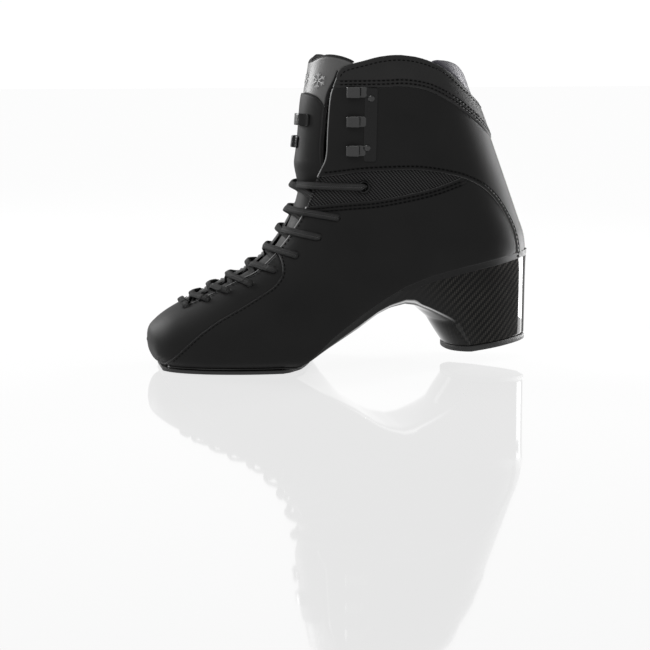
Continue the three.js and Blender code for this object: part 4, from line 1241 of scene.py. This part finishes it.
def add_collar_pad(material):
    outline = np.vstack([PAD_RIM, [[140, 176], [140, 140], [88, 150], [74, 160], [62, 186], [58, 207]]])
    within = inside(outline, SIDE_VIEW)
    front = smooth(PAD_FRONT)
    field = signed_field(within, [PAD_RIM, front])

    def outer(skin):
        over = np.clip((skin.points[:, 2] - height(COLLAR_LINE, skin.points[:, 0])) / 2.0, 0, 1)
        return -3.2 + over * (2.4 - 1.0 * np.exp(-skin.field / 1.2))

    def inner(skin):
        return -4.6 - 4.6 * (1 - np.exp(-skin.field / 3.0))

    pad = pillow("collar_roll", field, outer, inner, material, replaced=("collar_pad",),
                 slot="collar_padding")


# ---------------------------------------------------------------- the tongue

TONGUE_EDGE = [
    [-6.6, 202.6], [-8.5, 197], [-13.4, 185], [-15.4, 165], [-16.4, 147], [-15.5, 137], [-13.5, 128],
    [-16, 117], [-21, 106], [-27.5, 95], [-34, 86], [-41.5, 77], [-50, 69], [-60, 62.3], [-70, 57.5],
    [-84, 51.5], [-97, 45.6], [-106.5, 42.4],
]
SINK_TOP = 141.0                 # heights between which the tongue sinks in under the lace
SINK_LOW = 119.0
SINK = 6.2


def tongue_depth(z):
    """How far the tongue's surface lies below the hull: level with it above, and under the lace below."""
    share = np.clip((SINK_TOP - z) / (SINK_TOP - SINK_LOW), 0, 1)
    return SINK * share * share * (3 - 2 * share)


def tongue_lines():
    edge, top = smooth(TONGUE_EDGE), smooth(TONGUE_TOP[:-1])
    outline = np.vstack([edge[::-1], top, [[FAR, 206], [FAR, 40]]])
    tip = np.array([[-106.5, 42.4], [-112, 42]])
    return edge, top, outline, tip


def bend_tongue(obj):
    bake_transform(obj)


def add_tongue(finish):
    edge, top, outline, tip = tongue_lines()
    within = inside(outline, SIDE_VIEW)
    field = signed_field(within, [edge, top, tip])

    def outer(skin):
        swell = 1 - np.exp(-np.maximum(skin.field, 0) / 3.0)
        return -tongue_depth(skin.points[:, 2]) - 2.4 + 1.9 * swell

    def inner(skin):
        swell = 1 - np.exp(-np.maximum(skin.field, 0) / 3.0)
        return -tongue_depth(skin.points[:, 2]) - 3.4 - 4.3 * swell

    pad = pillow("tongue_pad", field, outer, inner, finish["lining"], None,
                 ("tongue_upper_foam", "tongue_upper_lining", "tongue_lower_foam", "tongue_lower_lining"),
                 "lining_fabric")
    bend_tongue(pad)

    patch = smooth(PATCH_LINE)
    above = inside(np.vstack([patch, [[60, SKY], [-60, SKY]]]), SIDE_VIEW)
    cover_edge, cover_top = edge + [-0.8, 0], top - [0, 1.6]
    slim = inside(np.vstack([cover_edge[::-1], cover_top, [[FAR, 205], [FAR, 40]]]), SIDE_VIEW)

    def follow(skin):
        return -tongue_depth(skin.points[:, 2])

    upper = panel("tongue_patch", signed_field(slim & above, [cover_edge, cover_top, patch]), 0.0,
                  finish["patch"], ("tongue_top_patch",), "outer_leather", thick=2.2, body=None,
                  shape=follow, round_scale=1.2)
    bend_tongue(upper)
    cover = panel("tongue_cover", signed_field(slim & ~above, [cover_edge, patch, tip]), 1.3,
                  finish["leather"], ("tongue_upper_cover", "tongue_lower_cover"), "outer_leather",
                  thick=3.2, body=None, shape=follow, round_scale=1.6)
    bend_tongue(cover)


# ---------------------------------------------------------------- sole, heel and plates


ROUND_FROM = 100                 # the heel closes in round its back behind this
HEEL_ROUND = 33.2
NOSE_SHIFT = 5.5                 # how far the heel's rounded front lies behind ARCH_LINE in the middle
NOSE_BEND = 9.0                  # and how much further it falls back at NOSE_REACH to each side
NOSE_REACH = 26
NOSE_TOP = 43.5
NOSE_FADE = 14
SLANT = 0.35                     # the arch starts further back towards the inner side, below a height
SLANT_TOP = 28
SLANT_FADE = 25
SLANT_FROM, SLANT_TO = -38, 32
WALL_STEPS = 14                  # points up a block's wall, and across its underside
FLAT_STEPS = 13
BEND_STEPS = 6


def plan_stations():
    front = np.arange(-122, ROUND_FROM, 2.0)
    rear = ROUND_FROM + 33.4 * np.sin(np.linspace(0, math.pi / 2, 30))
    return np.concatenate([front, rear])


def sole_width(x, side):
    """Half width of the boot at the sole line, and how fast it draws in below."""
    back = np.clip((x - ROUND_FROM) / HEEL_ROUND, 0, None)
    place = np.column_stack([x - 2.2 * back ** 2, height(SOLE_LINE, x) + 0.4])
    return on_hull(place, side)[0][:, 1]


def drawn_in(y, drop, inset):
    below = np.maximum(drop, 0)
    drawn = 0.5 + inset + 3.5 * (1 - np.exp(-below / 7)) + 0.05 * below
    size = np.abs(y)
    return y * (1 - drawn / (size + np.abs(drawn)))


def block(xs, top, bottom, widths, draw, radius):
    """Rings of a body that runs along the sole: two walls with round edges, an underside and a top."""
    bend = np.linspace(0, math.pi / 2, BEND_STEPS)
    rings = []
    for i, x in enumerate(xs):
        t, b = top[i], bottom[i]
        r = min(radius if np.isscalar(radius) else radius[i], (t - b) * 0.4)
        rt = min(0.6, r)
        z = np.concatenate([t - rt * (1 - np.cos(bend)), np.linspace(t - rt, b + r, WALL_STEPS)[1:-1],
                            b + r * (1 - np.sin(bend))])
        pull = np.concatenate([rt * (1 - np.sin(bend)), np.zeros(WALL_STEPS - 2),
                               r * (1 - np.cos(bend))])
        walls = []
        for y0 in (widths[0][i], widths[1][i]):
            y = draw(np.full(len(z), y0), x, z)
            y = np.sign(y) * np.maximum(np.abs(y) - pull, 0)
            walls.append(np.column_stack([np.full(len(z), x), y, z]))
        share = np.linspace(0, 1, FLAT_STEPS)[1:-1, None]
        under = walls[0][-1] + (walls[1][-1] - walls[0][-1]) * share
        over = walls[1][0] + (walls[0][0] - walls[1][0]) * share
        rings.append(np.vstack([walls[0], under, walls[1][::-1], over]))
    return np.array(rings)


def plan_uv(obj, rings):
    """UV map in metres: along the wall's plan, and up it."""
    wall = rings[:, 0, :2]
    length = np.concatenate([[0], np.cumsum(np.linalg.norm(np.diff(wall, axis=0), axis=1))])
    flat = rings.reshape(-1, 3)
    u = np.interp(flat[:, 0], rings[:, 0, 0], length) * np.where(flat[:, 1] < 0, 1, -1)
    reach = np.repeat(np.abs(rings[:, :, 1]).max(1), rings.shape[1])
    middle = np.abs(flat[:, 1]) < 0.72 * reach
    v = np.where(middle, flat[:, 1], flat[:, 2])
    u = np.where(middle, flat[:, 0], u)
    layer = obj.data.uv_layers.new(name="UVMap")
    loops = np.zeros(len(obj.data.loops), int)
    obj.data.loops.foreach_get("vertex_index", loops)
    layer.data.foreach_set("uv", (np.column_stack([u, v])[loops] * MM).ravel().astype(np.float32))


def heel_line(x):
    return np.interp(x, (HEEL_FRONT[0], HEEL_BACK[0] + 6), (HEEL_FRONT[1], HEEL_FRONT[1] + 7.0))


def shell_bottom(x):
    return np.where(x < HEEL_FRONT[0], height(ARCH_LINE, x), heel_line(x) + HEEL_PLATE + 0.3)


def nose_bend(y):
    """How far the heel's rounded front lies behind ARCH_LINE."""
    return NOSE_SHIFT + NOSE_BEND * (np.minimum(np.abs(y), 40) / NOSE_REACH) ** 2.5


def arch_slant(x, y, z):
    """How far the arch's start lies behind ARCH_LINE, more so towards the inner side."""
    share = np.clip((SLANT_TOP - z) / SLANT_FADE, 0, 1) * np.clip((x + 62) / 20, 0, 1)
    return share * np.clip((34 - x) / 20, 0, 1) * SLANT * (np.clip(y, SLANT_FROM, SLANT_TO) - SLANT_FROM)


def round_nose(rings, edges):
    """Moves a shell's rings back round the heel's front, keeping its walls on their surface."""
    x, y, z = (rings[:, :, k].copy() for k in range(3))
    share = np.clip((NOSE_TOP - z) / NOSE_FADE, 0, 1) * np.clip((x - 34) / 6, 0, 1)
    share = share * np.clip((128 - x) / 58, 0, 1)
    moved = x + share * nose_bend(y) + arch_slant(x, y, z)
    xs = rings[:, 0, 0]
    old = np.where(y < 0, np.interp(x, xs, edges[0]), np.interp(x, xs, edges[1]))
    new = np.where(y < 0, np.interp(moved, xs, edges[0]), np.interp(moved, xs, edges[1]))
    scale = np.where(np.abs(old) > 1, new / np.where(np.abs(old) > 1, old, 1), 1)
    depth = np.clip((rings[:, :1, 2] - z) / np.maximum(rings[:, :1, 2] - z.min(1, keepdims=True), 1), 0, 1)
    z = z + 0.1 * (moved - x) * depth * np.clip((x - 62) / 8, 0, 1)
    return np.stack([moved, y * scale, z], -1)


def arch_highlight_strip(rings):
    """A share from 0 to 1 along the arch's rounded lower edge, where a thin bright metallic strip is
    painted in as a highlight line.
    """
    share = np.zeros(rings.shape[:2])
    x = rings[:, 0, 0]
    along = np.clip((x + 12) / 24, 0, 1) * np.clip((60 - x) / 8, 0, 1)
    middle = BEND_STEPS + WALL_STEPS
    last = 2 * (2 * BEND_STEPS + WALL_STEPS - 2) + FLAT_STEPS - 3
    share[:, [middle, last - middle]] = along[:, None]
    return share


def add_block(name, xs, top, bottom, widths, draw, radius, material, replaced, slot, uv=False):
    rings = block(xs, top, bottom, widths, draw, radius)
    if uv:
        rings = round_nose(rings, widths)
    points, faces = strip(rings)
    obj = make(name, points, faces, material, "boot", replaced, slot)
    if uv:
        plan_uv(obj, rings)
        # The "edge" attribute marks the painted highlight line along the arch's lower edge.
        attribute(obj, "edge", arch_highlight_strip(rings).ravel())


def add_sole(finish):
    xs = plan_stations()
    dense = [np.arange(-41, -10, 1.5) + 0.6, np.arange(49, 71, 1.0) + 0.25, [69.9, 70.1]]
    xs = np.sort(np.concatenate([xs, *dense]))
    widths = [sole_width(xs, side) for side, _ in SIDES]
    for w in widths:
        w[-1] = 0
    level = height(SOLE_LINE, xs)

    def wall(inset):
        return lambda y, x, z: drawn_in(y, float(height(SOLE_LINE, x)) - z, inset)

    soft = 1.2 + 6.0 * np.clip((69.5 - xs) / 6, 0, 1) * np.clip((xs + 38) / 24, 0, 1)
    add_block("arch_and_heel_shell", xs, level - 0.3, shell_bottom(xs), widths, wall(0.0), soft,
              finish["carbon"], ("sole_shell",), "carbon_shell", uv=True)
    rear = xs > 34
    rise = np.clip((xs[rear] - 34) / 8, 0.25, 1)
    add_block("heel_edge", xs[rear], level[rear] - 0.25, level[rear] - 0.4 - 4.9 * rise,
              [w[rear] for w in widths], wall(-0.35), 0.7, finish["rubber"], ("heel_rand",), "rubber_edge")
    add_heel_lift(xs, widths, wall(-0.7), finish["tread"])


def add_heel_lift(xs, widths, draw, material):
    """The plate under the heel: a rounded front, walls that follow the shell's, and eased edges."""
    outline = []
    rear = ROUND_FROM + HEEL_ROUND * np.sin(np.linspace(1.02, 1.55, 12))
    for edge in widths:
        line = []
        for x in np.concatenate([np.arange(80, 128, 2.0), rear]):
            y = float(draw(np.interp(x, xs, edge), x, heel_line(x) + 2))
            if x > 70 + nose_bend(y):
                line.append((min(x, 133.1) + 0.5 * max(0, (x - ROUND_FROM) / 33), y))
        outline.append(line)
    reach = abs(outline[0][0][1])
    nose = [(70 + float(nose_bend(y)), y) for y in np.linspace(reach, -reach, 25)[1:-1]]
    plan = np.array(outline[0] + outline[1][::-1] + nose)
    profile = ((0, 0.8), (0.25, 0.25), (0.8, 0.0), (3.2, 0.0), (3.75, 0.2), (4.0, 0.6))
    add_plate("heel_lift", plan, heel_line, profile, material, "heel_plate")


def add_plate(name, plan, level, profile, material, replaced):
    """A plate from its outline seen from below, with its edge's profile as (rise, inset)."""
    ahead = unit(np.roll(plan, -1, 0) - np.roll(plan, 1, 0))
    inward = np.column_stack([-ahead[:, 1], ahead[:, 0]])
    rings = []
    for rise, inset in profile:
        moved = plan + inward * inset
        rings.append(np.column_stack([moved, level(moved[:, 0]) + rise]))
    points, faces = strip(rings)
    make(name, points, faces, material, "boot", (replaced,), "rubber_edge")


def add_forefoot_plate(material):
    xs = np.concatenate([[-125.6, -125.2, -124.6, -123.6], np.arange(-122, -31, 2.5)])
    place = np.column_stack([xs, np.full(len(xs), PLATE_HEIGHT)])
    outer, inner = (on_hull(place, side)[0][:, 1] - PLATE_INSET * side for side, _ in SIDES)
    near = [(x, y) for x, y in zip(xs, outer) if x < -46]
    far = [*zip(xs, inner), (-26, inner[-1]), (-20, inner[-1] - 0.2)]
    rear = smooth(PLATE_REAR, 2.0)
    profile = ((0, 0.9), (0.15, 0.6), (0.5, 0.45), (2.2, 0.0), (2.5, 0.1), (2.6, 0.4))
    add_plate("forefoot_sole", np.array([*near, *rear, *far[::-1]]), np.zeros_like, profile, material,
              "forefoot_plate")


def add_footbed(material):
    front = np.arange(-121, 92, 3.0)
    rear = 92 + 33 * np.sin(np.linspace(0, math.pi / 2, 22))
    xs = np.concatenate([front, rear])
    level = height(SOLE_LINE, xs)
    reach = 6.6 * np.clip((xs - 92) / 33, 0, 1) ** 2 - 6.6 * np.clip((-100 - xs) / 21, 0, 1) ** 2
    place = np.column_stack([xs + reach, level + 6.5])
    widths = []
    for side, _ in SIDES:
        y = on_hull(place, side)[0][:, 1]
        widths.append(np.sign(y) * np.maximum(np.abs(y) - 7.0, 0.05))
    add_block("sock_footbed", xs, level + 7.2, level + 3.4, widths, lambda y, x, z: y, 1.2, material,
              ("footbed",), "lining_fabric")


# ---------------------------------------------------------------- metal parts


def conform(x, z, out, side):
    """Points that stand out of the hull at side-view places."""
    base = on_hull(np.column_stack([x, z]), side)[0]
    return base + nearest(base)[1] * np.asarray(out)[:, None]


def flat_section(width, thick):
    """The section of a sheet-metal strip, with eased corners."""
    angle = np.linspace(0, 2 * math.pi, 20, endpoint=False) + math.pi / 20
    a = np.sign(np.cos(angle)) * np.abs(np.cos(angle)) ** 0.22
    b = np.sign(np.sin(angle)) * np.abs(np.sin(angle)) ** 0.35
    return a * width / 2, b * thick / 2


def bent_strip(centre, middle_z, width, thick, side):
    """A strip of sheet metal bent along a line of (x, height above the hull), as wide as it is along z."""
    line = resample(smooth(centre, 0.3), 0.5)
    ahead = unit(np.gradient(line, axis=0))
    normal = np.column_stack([-ahead[:, 1], ahead[:, 0]])
    a, b = flat_section(width, thick)
    rings = []
    for i, (p, n) in enumerate(zip(line, normal)):
        end = min(i, len(line) - 1 - i)
        shrink = (0.93, 0.99)[end] if end < 2 else 1.0
        xh = p + np.outer(b * (0.6 if end == 0 else 1.0), n)
        rings.append(conform(xh[:, 0], middle_z + a * shrink, xh[:, 1], side))
    return strip(rings)


def turned(centre, normal, profile, closed=False):
    """A turned shape about an axis: profile points are (radius, height along the normal)."""
    helper = np.array([0.0, 0.0, 1.0]) if abs(normal[2]) < 0.9 else np.array([1.0, 0.0, 0.0])
    a = unit(np.cross(normal, helper))
    b = np.cross(normal, a)
    angle = np.linspace(0, 2 * math.pi, 28, endpoint=False)
    around = np.outer(np.cos(angle), a) + np.outer(np.sin(angle), b)
    rings = [centre + normal * rise + radius * around for radius, rise in profile]
    if closed:
        rings.append(rings[0])
    return strip(rings, closed_ends=not closed)


HOOK_LINE = [                    # x and height above the hull, from the plate round to the hook's tip
    [11.5, 0.85], [6, 0.85], [1.6, 0.85], [0.1, 1.3], [-0.75, 2.6], [0.1, 3.95], [1.8, 4.4], [4.5, 4.45],
    [7.2, 4.9],
]
RIVET_DOME = [(0.1, 1.25), (0.9, 1.2), (1.6, 1.0), (2.2, 0.62), (2.5, 0.2), (2.5, 0.0), (1.3, -0.2)]
RING_LIP = [
    (2.65, -1.8), (2.65, 0.7), (2.9, 1.25), (3.4, 1.5), (3.95, 1.3), (4.35, 0.8), (4.4, 0.2), (3.6, -0.2),
]


def hook_rows(side):
    parts, hooks = Parts(), Parts()
    zs = np.linspace(141.6, 191.2, 60)
    a, b = flat_section(8.4, 1.0)
    rings = []
    for i, z in enumerate(zs):
        end = min(i, len(zs) - 1 - i)
        shrink = (0.78, 0.92, 0.98)[end] if end < 3 else 1.0
        x = 14 + a * shrink
        rings.append(conform(x, np.full(len(a), z), 0.85 + b, side))
    parts.add(*strip(rings))
    for z in HOOK_ROWS:
        hooks.add(*bent_strip(HOOK_LINE, z, 7.0, 1.0, side))
    return parts, hooks


def add_metal(metal, rivet):
    for side, word in SIDES:
        plate, hooks = hook_rows(side)
        plate.make(f"hook_base_{word}", metal, "boot", replaced=(f"hook_plate_{word}",), slot="black_metal")
        hooks.make(f"lace_hooks_{word}", rivet, "boot", slot="black_metal")
        for i, place in enumerate(RIVETS):
            point, normal = lift_from(place, side, 1.2)
            points, faces = turned(point, normal, RIVET_DOME)
            make(f"rivet_head_{word}_{i + 1}", points, faces, rivet, "boot",
                 (f"hook_rivet_{word}_{i + 1}",), "black_metal")
        point, normal = lift_from(EYELETS[-1], side, 0.0)
        points, faces = turned(point, normal, RING_LIP, closed=True)
        make(f"eyelet_lip_{word}", points, faces, metal, "boot", (f"eyelet_ring_{word}",), "black_metal")


def front_point(y, z, out):
    """Points in front of the tongue at given places across and up, standing out of the hull."""
    points = []
    for a, b, c in zip(y, z, out):
        hit, normal, _, _ = TREE.ray_cast(Vector((-300, a, b)), Vector((1, 0, 0)))
        normal = np.array(normal) * (1 if normal[0] < 0 else -1)
        points.append(np.array(hit) + normal * c)
    return np.array(points)


GUIDE_RAMP = [[0, 1.9], [2.4, 1.9], [3.7, 2.8], [4.3, 3.9], [5.6, 4.5]]   # foot and rise of one end


def add_guides(metal):
    for word, middle_z, left, right in GUIDES:
        ramp = np.array(GUIDE_RAMP)
        middle = [[(left + right) / 2, ramp[-1, 1] + 0.15]]
        line = np.vstack([ramp + [left, 0], middle, (ramp * [-1, 1] + [right, 0])[::-1]])
        line = resample(smooth(line, 0.3), 0.6)
        ahead = unit(np.gradient(line, axis=0))
        normal = np.column_stack([-ahead[:, 1], ahead[:, 0]])
        a, b = flat_section(8.0, 1.0)
        rings = []
        for i, (p, n) in enumerate(zip(line, normal)):
            shrink = 0.8 if i in (0, len(line) - 1) else 1.0
            yh = p + np.outer(b, n)
            rings.append(front_point(yh[:, 0], middle_z + a * shrink, yh[:, 1]))
        points, faces = strip(rings)
        make(f"guide_strap_{word}", points, faces, metal, "tongue", (f"tongue_guide_{word}",),
             "black_metal")


STAR_PLACES = (-16.0, 0.0, 16.0)
STAR_HEIGHT = 196.5


def add_stars(material):
    """Plain six-armed stars embossed on the tongue's top patch."""
    parts = Parts()
    for y in STAR_PLACES:
        for start, end in star_strokes(np.array([y, STAR_HEIGHT - 0.004 * y * y])):
            line = np.linspace(start, end, 6)
            middle = front_point(line[:, 0], line[:, 1], np.full(len(line), 0.05))
            facing = np.tile([-0.97, 0.0, 0.2], (len(middle), 1))
            parts.add(*strip(flat_cord(middle, 0.9, 0.8, facing, 8)))
    parts.make("patch_stars", material, "tongue", slot="outer_leather")


def star_strokes(centre):
    """The arms of a star, each with two short branches, as pairs of places across and up."""
    strokes = []
    for turn in np.radians(np.arange(90, 450, 60)):
        arm = np.array([math.cos(turn), math.sin(turn)])
        strokes.append((centre + arm * 0.6, centre + arm * 5.2))
        for spread in (-0.8, 0.8):
            branch = np.array([math.cos(turn + spread), math.sin(turn + spread)])
            strokes.append((centre + arm * 3.0, centre + arm * 3.0 + branch * 1.8))
    return strokes


# ---------------------------------------------------------------- build

add_camera()
add_studio()
FINISH = {
    "leather": leather_material("leather", grooves=EDGE_ROWS),
    "two_rows": leather_material("leather_two_rows", grooves=BAND_ROWS),
    "band": leather_material("leather_band", 0.014, BAND_ROWS),
    "patch": leather_material("leather_patch", 0.05, rough=0.42, specular=0.35),
    "raw": raw_edge_material(),
    "thread": thread_material(),
    "knit": knit_material(),
    "carbon": carbon_material(),
    "rubber": rubber_material("rubber", 0.004),
    "tread": rubber_material("rubber_tread", 0.022),
    "metal": metal_material(),
    "rivet": metal_material("bright_metal", 0.014, 0.034, 0.6),
    "lace": lace_material(),
    "satin": satin_material(),
    "lining": lining_material(),
    "board": board_material(),
    "sleeve": sleeve_material(),
}

CARRIED_OVER = {                 # CAD nodes that stay as they are, by their material
    "board": ("toe_box", "heel_counter", "lasting_board", "heel_core"),
    "sleeve": ("aglet_lateral", "aglet_medial"),
}

add_tails(FINISH["lace"])
add_lace(FINISH["lace"])
add_upper(FINISH)
add_stitches(FINISH["thread"])
add_lining(FINISH["lining"])
add_collar_pad(FINISH["satin"])
add_tongue(FINISH)
add_sole(FINISH)
add_forefoot_plate(FINISH["tread"])
add_footbed(FINISH["lining"])
add_metal(FINISH["metal"], FINISH["rivet"])
add_guides(FINISH["metal"])
add_stars(FINISH["patch"])

bpy.context.scene.view_settings.view_transform = "Standard"
for finish, nodes in CARRIED_OVER.items():
    for node in nodes:
        bpy.data.objects[node].data.materials[0] = FINISH[finish]
